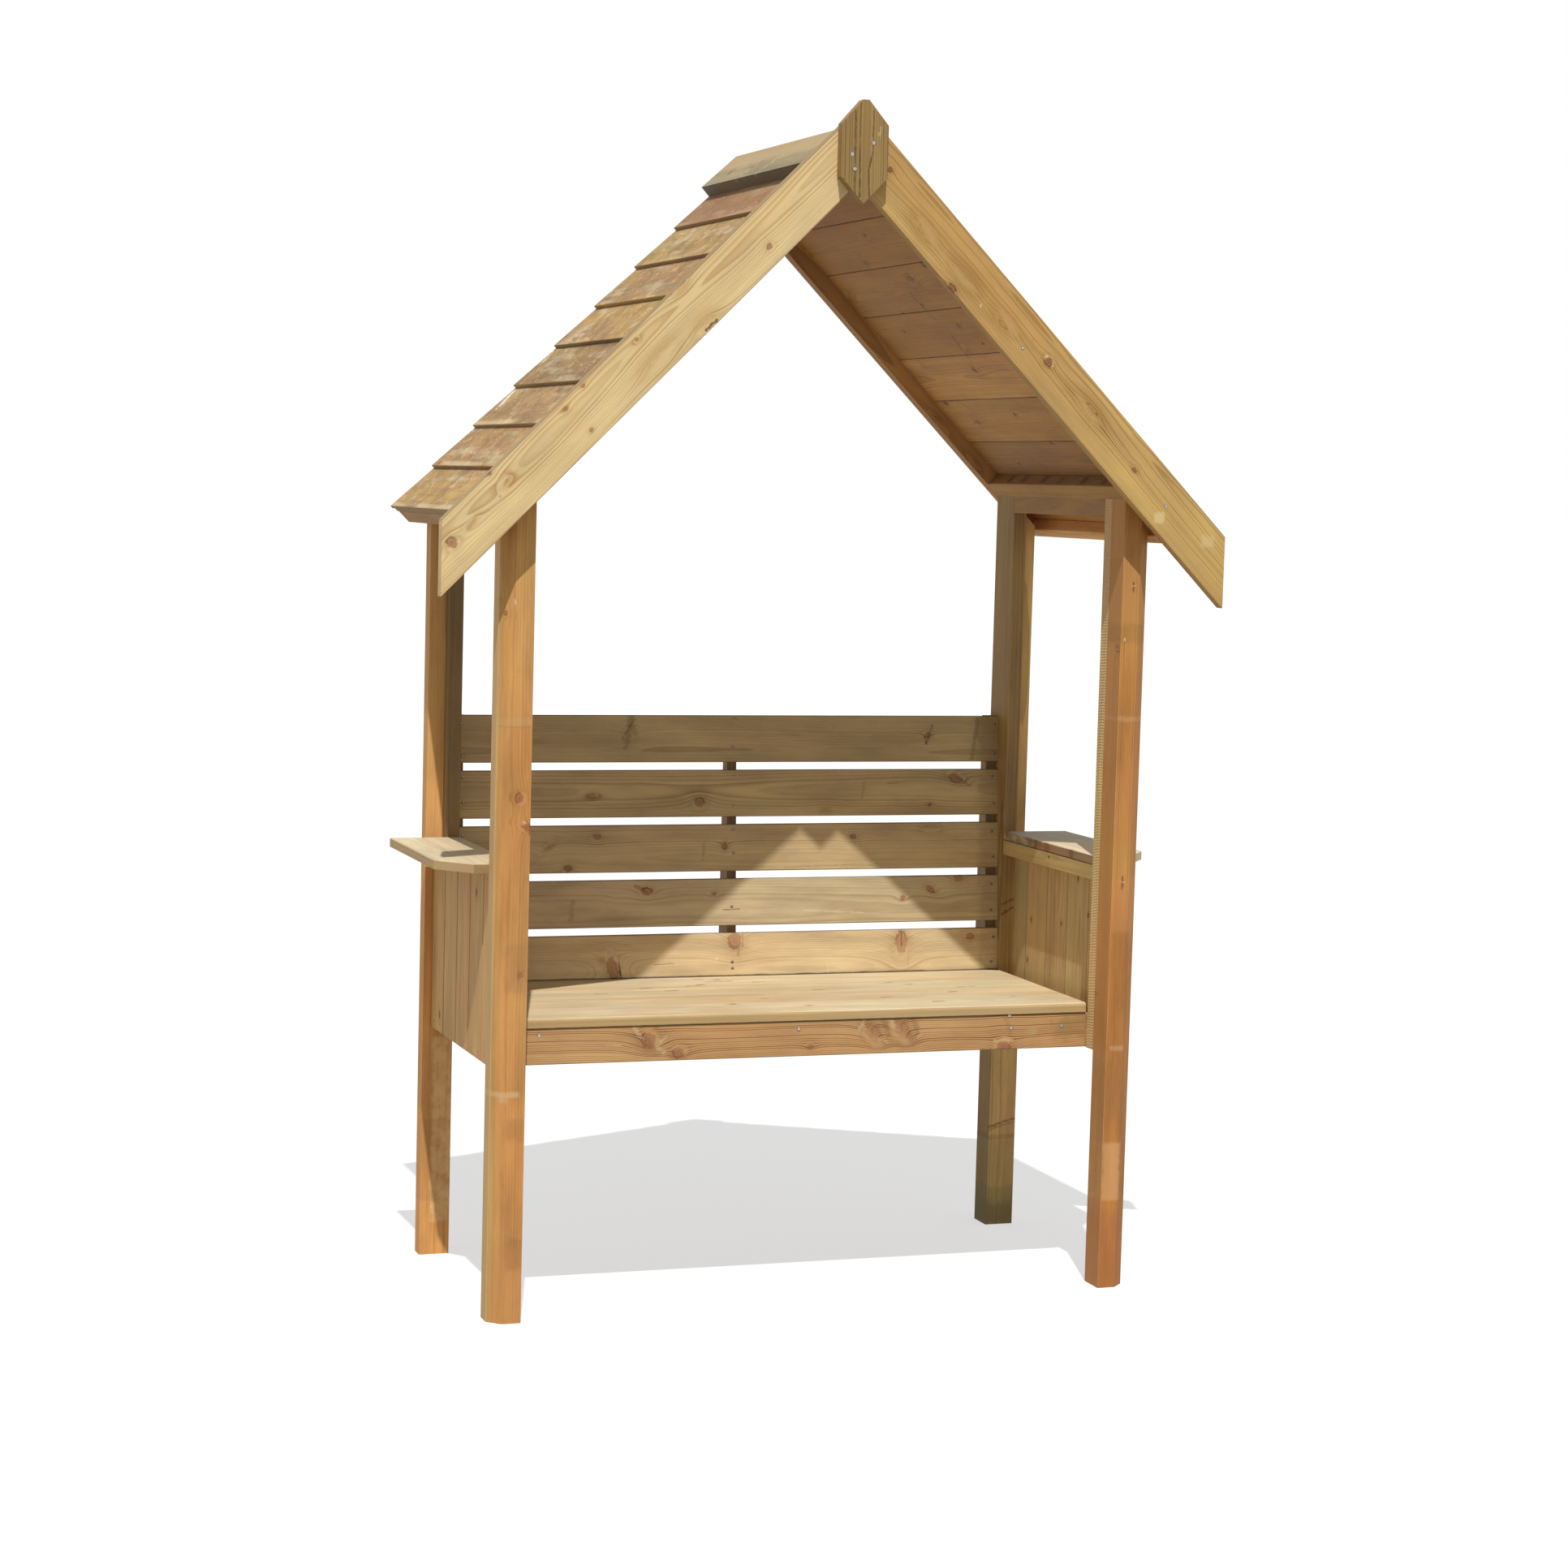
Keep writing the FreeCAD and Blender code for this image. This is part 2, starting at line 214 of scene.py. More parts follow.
class Softwood(Finish):
    """Solid softwood: rings round a wandering pith, which bulge round the knots, with fibres, streaks and broad tones.

    u, v and w say how far a point lies along the grain, over the wide way and over the thin way, in metres."""

    def __init__(self, name, timber, seed, courses):
        super().__init__(name)
        self.timber = timber
        self.chance = random.Random(seed)
        self.place = self.node("TexCoord", None, None, "Object")
        self.facing = self.node("NewGeometry", None, None, "Normal")
        self.origin = APEX if courses else timber.centre
        self.u = self.reach(self.place, timber.along, self.origin)
        self.v = self.reach(self.place, timber.across, self.origin)
        self.w = self.reach(self.place, timber.into, self.origin)
        self.uncut = self.u, self.v, self.w
        self.offset = [self.chance.uniform(-SPREAD, SPREAD) for _ in range(SHIFTS)]
        self.lot = self.part_courses() if courses else None
        u, v, w = self.u, self.v, self.w
        self.grit = self.noise(self.point(u * 150, v * 240, w * 240), 2.0)
        self.fuzz = self.noise(self.point(u * 120 + self.offset[12], v * 170, w * 170), 3.0, 0.6)

    def part_courses(self):
        """Makes each course of boards a board of its own, seen from above or from below, and gives its random tones."""
        level = self.node("SeparateXYZ", None, {0: self.facing}, 2)
        run = self.v + self.smooth(level, 0.0, -0.1) * UNDER_SHIFT - FIRST_EDGE
        course = self.maths("MAXIMUM", self.maths("FLOOR", run / COURSE), -1.0)
        drawn = self.node("TexWhiteNoise", {"noise_dimensions": "1D"}, {"W": course + self.offset[6]}, "Color")
        lot = self.node("SeparateXYZ", None, {0: drawn}, (0, 1))
        self.v = run - (course + 0.5) * COURSE
        self.u = self.u + lot[0] * 17
        return lot

    def scatter_knots(self, share):
        """Small knots scattered at random, one at most in each cell. Gives how far they push the rings aside and
        swell them, how near the next one is in its own radii, how dark it is, and on which side of it a point lies."""
        u, v = self.u + self.offset[0], self.v + self.offset[1]
        shade, spot = self.node(
            "TexVoronoi", {"voronoi_dimensions": "2D"},
            {"Vector": self.point(u, v, 0.0), "Scale": 1 / KNOT_CELL, "Randomness": 0.9}, ("Color", "Position"))
        pick, size, dark = self.node("SeparateXYZ", None, {0: shade}, (0, 1, 2))
        held = self.smooth(pick, share, share - 0.02)
        radius = size * 0.0035 + 0.0018
        spot_u, spot_v = self.node("SeparateXYZ", None, {0: spot}, (0, 1))
        du = (u - spot_u) / (radius * 1.4)
        dv = (v - spot_v) / radius
        square = du * du + dv * dv
        push = held * radius * dv / (square + 0.35) * self.maths("EXPONENT", du * du * -0.04)
        bulge = held * 1.3 / (square * 0.3 + 1)
        near = self.maths("SQRT", square) + (1 - held) * FAR_OFF
        darkness = held * dark * 0.8 * self.smooth(near, 1.6, 1.2)
        side = dv * self.smooth(near, 3.0, 1.0)
        return push, bulge, near, darkness, side

    def add_knots(self, scattered, knots, ring):
        """Adds the knots that the photographed piece shows. Each one fades out as it goes in."""
        push, bulge, near, darkness, side = scattered
        ways = self.timber.along, self.timber.across, self.timber.into
        for point, radius, length, tone, lean in knots:
            at = Vector(point) * MM - self.origin
            gap_u, gap_v, gap_w = (run - at.dot(way) for run, way in zip(self.uncut, ways))
            deep = self.smooth(self.maths("ABSOLUTE", gap_w), 0.006, 0.024)
            if lean:
                cos, sin = math.cos(math.radians(lean)), math.sin(math.radians(lean))
                gap_u, gap_v = gap_u * cos + gap_v * sin, gap_v * cos - gap_u * sin
            du = gap_u / (radius * MM * length)
            dv = gap_v / (radius * MM)
            square = du * du + dv * dv + deep * 20
            push = push + dv * (radius * MM) / (square + 0.35) * self.maths("EXPONENT", du * du * -0.04)
            bulge = bulge + 1.3 * radius / ring / (du * du * 0.16 + dv * dv * 0.5 + deep * 9 + 1)
            reach = self.maths("SQRT", square)
            near = self.maths("MINIMUM", near, reach)
            close = self.smooth(reach, 2.6, 1.1)
            darkness = self.maths("MAXIMUM", darkness, close * tone)
            side = side + close * (du * self.chance.uniform(-0.6, 0.6) + dv * self.chance.choice((-0.9, 0.9)))
        return push, bulge, near, darkness, side

    def weather(self, colour, swell, amount, dull):
        """Bleaches the upper side in patches and along pale crossing lines, varies the tone from cell to cell, and
        paints a pale highlight here and there along each board's lower edge.
        """
        u, v, w, offset = self.u, self.v, self.w, self.offset
        open_sky = self.smooth(self.node("SeparateXYZ", None, {0: self.facing}, 2), 0.1, 0.4)
        worn = open_sky * amount
        colour = self.mix(open_sky * dull, colour, FADED)
        bleached = self.smooth(self.noise(self.point(u * 5 + offset[1], v * 26, w * 3), 3.0, 0.6), 0.50, 0.68)
        colour = self.mix(bleached * worn * 0.6, colour, BLEACHED)
        bend = self.noise(self.point(u * 14, v * 22, offset[2]), 3.0, 0.65)
        cells = {"Vector": self.point(u * 9 + (bend - 0.5) * 1.6 + v * 3, v * 2.6 + offset[3], 0.0)}
        shade = self.node("TexVoronoi", {"voronoi_dimensions": "2D"}, cells, "Color")
        tone = self.node("SeparateXYZ", None, {0: shade}, 0)
        gap = self.node(
            "TexVoronoi", {"voronoi_dimensions": "2D", "feature": "DISTANCE_TO_EDGE"}, cells, "Distance")
        colour = self.tint(colour, 1 + (tone - 0.5) * worn * 0.4)
        kept = self.smooth(self.noise(self.point(u * 21, v * 30, offset[4]), 1.0), 0.42, 0.56)
        lines = self.smooth(gap + (self.grit - 0.5) * 0.05, 0.055, 0.012)
        colour = self.mix(lines * kept * worn * 0.65, colour, LICHEN)
        # A painted highlight, pale, here and there along each board's lower edge
        lower_edge = self.smooth(v, COURSE / 2 - 0.016, COURSE / 2 - 0.008)
        return self.mix(lower_edge * self.smooth(swell, 0.48, 0.60) * worn * 0.5, colour, PAINTED_EDGE_HIGHLIGHT)

    def stains_and_painted_light(self, colour, patches, streak):
        """Stains, tone changes and painted light and shade: boxes with soft and wavy sides."""
        if patches:
            wobble = self.noise(self.tint(self.place, 45.0), 2.0, 0.6, 1)
            wave = self.node(
                "VectorMath", {"operation": "MULTIPLY_ADD"}, {0: wobble, 1: (1, 1, 1), 2: (-0.5, -0.5, -0.5)})
        for low, high, code, amount, soft in patches:
            shift = self.tint(wave, soft * 1.5 * MM)
            where = self.node("VectorMath", {"operation": "ADD"}, {0: self.place, 1: shift})
            mask = None
            for axis, part in enumerate(self.node("SeparateXYZ", None, {0: where}, (0, 1, 2))):
                for end, out in ((low[axis], -soft), (high[axis], soft)):
                    if end is not None:
                        step = self.smooth(part, (end + out / 2) * MM, (end - out / 2) * MM)
                        mask = step if mask is None else mask * step
            colour = self.mix(mask * amount * (streak * 0.5 + 0.75), colour, paint(code))
        return colour

    def scratch(self, colour, scars):
        """Scars, bruises and pale marks: ragged strokes from one place to another."""
        for start, end, width, code, amount in scars:
            first, run = Vector(start) * MM, (Vector(end) - Vector(start)) * MM
            gap = self.node("VectorMath", {"operation": "SUBTRACT"}, {0: self.place, 1: first})
            share = self.node("VectorMath", {"operation": "DOT_PRODUCT"}, {0: gap, 1: run}, "Value")
            share = share / run.length_squared
            there = self.tint(run, self.node("Clamp", None, {0: share}))
            off = self.node("VectorMath", {"operation": "DISTANCE"}, {0: gap, 1: there}, "Value")
            off = off + (self.fuzz - 0.5) * (width * MM * 2.2)
            colour = self.mix(self.smooth(off, width * MM * 0.75, width * MM * 0.2) * amount, colour, paint(code))
        return colour

    def turned_to(self, way):
        """How squarely the surface faces that way."""
        return self.node("VectorMath", {"operation": "DOT_PRODUCT"}, {0: self.facing, 1: way}, "Value")


def softwood(name, timber, look, seed, knots=(), patches=(), scars=(), ring=3.6, pith=None, stray=0.006,
             small_knots=0.2, cast=(1, 1, 1), courses=False, weather=0.0, dull=0.0, mottle=1.0, green=1.0,
             sawn=0.0, seam=0.0, drip=0.0):
    """The material of one piece.

    Knots are (point, radius, length by width, darkness, lean in degrees), patches are what patch() gives, and scars
    are (start, end, width, colour, amount). These lengths, ring and seam are in mm; pith and stray are in metres."""
    early, late, sap, knot, rim, strength = (paint(c) if isinstance(c, str) else c for c in LOOKS[look])
    early, late, sap = (tuple(part * by for part, by in zip(c, cast)) + (1.0,) for c in (early, late, sap))
    f = Softwood(name, timber, seed, courses)
    u, v, w, offset, grit, fuzz, chance = f.u, f.v, f.w, f.offset, f.grit, f.fuzz, f.chance
    push, bulge, near, darkness, side = f.add_knots(f.scatter_knots(small_knots), knots, ring)

    # Rings
    if pith is None:
        pith = (chance.uniform(-0.6, 0.6) * min(timber.wide, 0.06),
                chance.choice((-1, 1)) * chance.uniform(0.02, 0.045))
    wander = f.noise(f.point(u * 1.6 + offset[2], offset[3], offset[4]), 1.0, 0.5, 1)
    sway_v, sway_w = f.node("SeparateXYZ", None, {0: wander}, (0, 1))
    from_v = v - push - pith[0] + (sway_v - 0.5) * (stray * 4)
    from_w = w - pith[1] + (sway_w - 0.5) * (stray * 4)
    swell = f.noise(f.point(u * 4 + offset[5], v * 24, w * 24), 2.0)
    rings = f.maths("SQRT", from_v * from_v + from_w * from_w) / (ring * MM) + swell * 1.2 + bulge
    part = f.maths("FRACT", rings)
    year = f.node("TexWhiteNoise", {"noise_dimensions": "1D"}, {"W": f.maths("FLOOR", rings) + offset[6]})
    lines = f.smooth(part, 0.25, 0.88) * f.smooth(part, 1.0, 0.92) * (year * year * 0.8 + 0.25)

    # Fibres, streaks, resin flecks and broad tones
    fibre = f.noise(f.point(u * 14 + offset[7], v * 620, w * 620), 2.0)
    streak = f.noise(f.point(u * 2.2 + offset[8], v * 90, w * 90), 3.0, 0.6)
    broad = f.noise(f.point(u * 2.1 + offset[9], v * 8, w * 8 + offset[10]), 2.0, 0.5)
    cloud = f.noise(f.point(u * 5.5 + offset[10], v * 22, w * 22 + offset[13]), 3.0, 0.6)
    fleck = f.smooth(f.noise(f.point(u * 70, v * 900 + offset[11], w * 900), 1.0), 0.70, 0.80)
    swirl = f.smooth(near, 5.0, 1.2)

    colour = f.mix(f.smooth(broad, 0.36, 0.66), early, sap)
    colour = f.mix(lines * (strength + swirl * 0.4) * (streak * 0.9 + 0.45), colour, late)
    colour = f.tint(colour, 0.71 + streak * 0.38 + fibre * 0.18)
    colour = f.tint(colour, 1 + (cloud - 0.5) * (0.65 * mottle))
    colour = f.mix(f.smooth(broad * 0.5 + cloud * 0.5, 0.50, 0.64) * (0.30 * mottle * green), colour,
                   f.node("VectorMath", {"operation": "MULTIPLY"}, {0: colour, 1: GREENISH}))
    colour = f.mix(fleck * 0.35, colour, rim)
    colour = f.mix(f.smooth(near, 3.0, 1.0) * 0.35, colour, late)
    if courses:
        shade, late_share = f.lot
        colour = f.tint(f.mix(late_share * 0.5, colour, late), 0.80 + shade * 0.42)

    # Knots: a ringed core, darker on one side, with a broken dark rim there and a pale collar on the other
    ragged = near + (fuzz - 0.5) * 1.1 + (grit - 0.5) * 0.4
    shown = f.smooth(darkness, 0.0, 0.25)
    core = f.mix(f.smooth(ragged + side * 0.4, 1.0, 0.2) * darkness * 0.45, knot, rim)
    core = f.mix(f.smooth(f.maths("FRACT", ragged * 2.7 + grit * 0.8), 0.45, 0.95) * 0.22, core, rim)
    core = f.mix(f.smooth(near + side * 0.3 + grit * 0.3, 0.42, 0.18) * darkness * 0.6, core, rim)
    colour = f.mix(f.smooth(ragged, 2.4, 1.2) * f.smooth(side, 0.3, -0.6) * 0.55, colour, sap)
    colour = f.mix(f.smooth(ragged, 1.18, 0.92) * shown * (0.6 + darkness * 0.35), colour, core)
    edge = f.smooth(ragged, 0.78, 1.04) * f.smooth(ragged, 1.45, 1.1) * f.smooth(side, -0.5, 0.7) * shown
    colour = f.mix(edge * (0.3 + darkness * 0.6), colour, rim)

    rough = 0.60 + fibre * 0.16 - lines * 0.06
    height = lines * 0.45 + fibre * 0.35 + grit * 0.15 - edge * 0.5
    if weather:
        colour = f.weather(colour, swell, weather, dull)
    colour = f.scratch(f.stains_and_painted_light(colour, patches, streak), scars)

    # Joints gather dirt, saw marks run across the grain, and end grain drinks more of the preservative
    if seam:
        by_joint = f.smooth(f.maths("ABSOLUTE", v), timber.wide - seam * MM, timber.wide - seam * MM * 0.3)
        colour = f.mix(by_joint * 0.6, colour, rim)
    if sawn:
        teeth = f.maths("SINE", u * 1250 + (streak - 0.5) * 9 + v * 160)
        colour = f.tint(colour, 1 + teeth * (0.05 * sawn) + (grit - 0.5) * (0.3 * sawn))
        height = height + teeth * (0.5 * sawn) + grit * sawn
    end = f.smooth(f.maths("ABSOLUTE", f.turned_to(timber.along)), 0.75, 0.95)
    colour = f.mix(end * 0.5, colour, f.mix(lines, late, rim))
    # Painted shade: faces that look down the wide way, such as a ridge cap's lower edge, are darkened
    if drip:
        colour = f.mix(f.smooth(f.turned_to(timber.across), 0.5, 0.9) * drip, colour, rim)
    if courses:
        at_joint = f.smooth(f.maths("ABSOLUTE", v), COURSE / 2 - 0.003, COURSE / 2 - 0.001)
        colour = f.mix(at_joint * 0.3, colour, rim)
    return f.surface(colour, rough + end * 0.15, height, GRAIN_LIFT, Specular_IOR_Level=0.35)


def finish(node, along, look, seed, across=None, **more):
    """Gives one piece its own softwood."""
    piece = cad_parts[node]
    piece.data.materials.clear()
    piece.data.materials.append(softwood("softwood_" + node, Timber(node, along, across), look, seed, **more))


# Where knots and marks lie, in mm

def slope(sign, down, y, out=0):
    """The place on a roof slope that lies so far down it from the apex and out from its boards' undersides."""
    return (sign * (down + out) * SLOPE, y, RIDGE - (down - out) * SLOPE)


def placed(where, rows):
    """Turns each pair in the rows into a place. A place given by three numbers stays."""
    return [tuple(where(*part) if isinstance(part, tuple) and len(part) == 2 else part for part in row) for row in rows]


def in_front(y):
    """For marks on a face that looks forward, given as x and z."""
    return lambda x, z: (x, y, z)


def on_slope(sign, out):
    """For marks on a roof slope, given as the way down it and y."""
    return lambda down, y: slope(sign, down, y, out)


def on_back(x, z):
    """For marks on the front of the leaning slats, given as x and z."""
    return (x, SLAT_FOOT_Y + (z - SLAT_FOOT_Z) * math.tan(BACK_LEAN), z)


def patch(code, amount, soft, x=(None, None), y=(None, None), z=(None, None)):
    """A stretch of the piece in another colour. An end that isn't given lies past the piece."""
    return tuple(zip(x, y, z)) + (code, amount, soft)


# Posts: the knots that show, pale strap marks, blocks of another tone where the stacked timber was covered, and on the
# rear posts painted light and shade

finish("left_front_post", Z, "orange", 11, pith=(0.07, 0.02), ring=4.2, small_knots=0.0, cast=(1.00, 0.97, 0.82),
       mottle=1.6,
       knots=placed(in_front(POST_FRONT), [
           ((-549, 884), 7, 1.0, 0.5, 0), ((-537, 835), 9, 0.5, 0.6, 20), ((-576, -262, 1187), 3, 1.2, 0.9, 0),
           ((-586, -254, 1211), 3, 1.3, 0.9, 0), ((-595, -246, 1076), 4, 1.2, 0.7, 0), ((-540, 588), 4, 1.0, 0.3, 0)]),
       scars=placed(in_front(POST_FRONT), [
           ((-531, 841), (-531, 824), 3, "8E3E28", 0.6), ((-543, 846), (-539, 843), 3, "E8D0A8", 0.5),
           ((-563, 1210), (-563, 1203), 4, "E8D4B0", 0.7)]),
       patches=[
           patch("CBA878", 0.3, 6, z=(1003, 1016)), patch("8A6A3C", 0.2, 3, z=(1000, 1003)),
           patch("E2CCA0", 0.38, 5, x=(None, -540), z=(384, 393)),
           patch("E2CCA0", 0.28, 8, x=(-575, -560), z=(374, 386)),
           patch("96683A", 0.45, 14, x=(-560, -528), z=(92, 146)),
           patch("A06E40", 0.35, 20, x=(-562, -528), z=(310, 345)), patch("BE8450", 0.35, 60, z=(-5, 130)),
           patch("A87A48", 0.35, 12, x=(-565, -528), z=(560, 640)),
           patch("B5804C", 0.3, 18, x=(-565, -528), z=(740, 830)), patch("B9A060", 0.35, 6, x=(None, -577)),
           patch("E8C890", 0.4, 1, x=(None, -584))])
finish("right_front_post", Z, "orange", 12, pith=(-0.06, -0.03), ring=4.2, small_knots=0.0, cast=(0.80, 0.71, 0.50),
       mottle=1.6,
       knots=placed(in_front(POST_FRONT), [
           ((553, 1250), 2.5, 1.8, 0.4, 0), ((530, -257, 1142), 4, 1.8, 1.0, 0), ((530, -218, 524), 3, 1.4, 0.9, 0),
           ((551, 724), 2, 3.0, 0.7, 0)]),
       scars=placed(in_front(POST_FRONT), [
           ((551, 1256), (551, 1240), 2.4, "6A4226", 0.8), ((544, 1250), (556, 1251), 2.2, "D8B080", 0.7),
           ((550, 738), (550, 716), 2.2, "6A4226", 0.8), ((544, 729), (556, 728), 2.2, "D2A878", 0.7),
           ((569, -268, 1163), (569, -268, 1160), 4, "EBDCC0", 0.8), ((538, 1158), (538, 1155), 3.4, "D9C8A8", 0.7)]),
       patches=[
           patch("E0A868", 0.4, 1, x=(None, 531)), patch("D8B080", 0.3, 5, z=(1013, 1021)),
           patch("E2C698", 0.45, 5, x=(538, None), y=(-270, -268), z=(427, 436)),
           patch("C08A50", 0.45, 10, z=(1185, 1300)),
           patch("8E6838", 0.35, 12, z=(1150, 1185)), patch("DCA870", 0.55, 8, x=(532, 566), z=(158, 262)),
           patch("B0683A", 0.35, 40, z=(-10, 140)), patch("CE8E56", 0.4, 10, x=(532, None), z=(640, 735)),
           patch("C67E48", 0.35, 25, x=(532, None), z=(790, 940)),
           patch("A87440", 0.3, 25, x=(532, None), z=(300, 400))])
finish("left_rear_post", Z, "orange", 13, cast=(1.24, 1.24, 1.08), mottle=1.3,
       patches=[
           patch("9A6E40", 0.2, 8, z=(100, 250)), patch("7A5A34", 0.2, 60, z=(860, 1400)),
           # The first pale patch on the front is painted light, sun on the foot; the second lightens the front higher
           # up
           patch("FFD090", 0.75, 8, x=(-566, None), y=(240, 247), z=(60, 400)),
           patch("E8B070", 0.45, 30, y=(240, 247), z=(560, 1400))])
# Its cast, far paler than its look, is painted light for a post that stands in shade
finish("right_rear_post", Z, "olive", 14, cast=(2.05, 1.85, 1.6), small_knots=0.1, mottle=1.4,
       scars=placed(in_front(REAR_POST_FRONT), [
           ((528, 190), (582, 206), 5, "8A4A34", 0.6), ((528, 184), (582, 200), 3, "6A4A2C", 0.4)]),
       patches=[
           # The first patch, darker over the side face, is painted shade; the rest change the tone of the foot
           patch("8A6E42", 0.75, 1, x=(None, 531)), patch("4A4026", 0.5, 30, z=(0, 45)),
           patch("A0905C", 0.3, 10, z=(0, 167)), patch("6A5434", 0.3, 5, z=(167, 176)),
           patch("6E7048", 0.3, 14, z=(0, 75))])

# The two sides, each with its half of the roof

ROOF_STREAKS = [
    # down the slope and y, on the left slope's upper side
    (164, 233), (226, 22), (206, 249), (278, 20), (267, 215), (309, 319), (402, 221), (386, 131), (458, 157),
    (497, -18), (512, 402), (529, 214), (580, 272), (573, 152), (627, 90), (654, 299), (708, 265), (719, 28),
    (811, 81), (827, -195)]
LINING_KNOTS = [
    # down the slope, y, radius and darkness, on the right slope's underside
    (169, -40, 4, 0.4), (223, 57, 6, 0.15), (293, 275, 8, 0.0), (276, -72, 8, 0.15), (331, -28, 4, 0.5),
    (384, -111, 5, 0.3), (439, -56, 7, 0.0), (390, 155, 4, 0.3), (487, -16, 5, 0.5), (469, 202, 5, 0.0),
    (596, -26, 4, 0.5), (613, 173, 5, 0.2), (666, -80, 4, 0.5), (717, 146, 4, 0.4)]
LINING_STAINS = [
    # down the slope, y, how far each stroke runs down and across, its width and its colour
    (205, 60, 30, 10, 5, "6E4E2C"), (262, -80, 34, -14, 7, "6E4E2C"), (280, -60, 20, 16, 5, "B08A58"),
    (305, -20, 60, -10, 6, "6A4A2A"), (322, 6, 44, -26, 4, "AE8654"), (404, -44, 60, 10, 8, "70502E"),
    (420, -70, 40, 14, 4, "AE8654"), (300, 262, 30, -24, 4, "B08A58"), (316, 276, 26, -40, 3, "6A4A2A"),
    (398, 240, 20, -30, 3, "B08A58"), (480, 214, 12, -24, 3, "AE8654"), (560, 190, 20, -40, 3, "6A4A2A")]
PURLIN_KNOTS = [(-205, 0.2), (-120, 0.25), (-20, 0.15), (60, 0.3), (150, 0.2), (215, 0.3)]

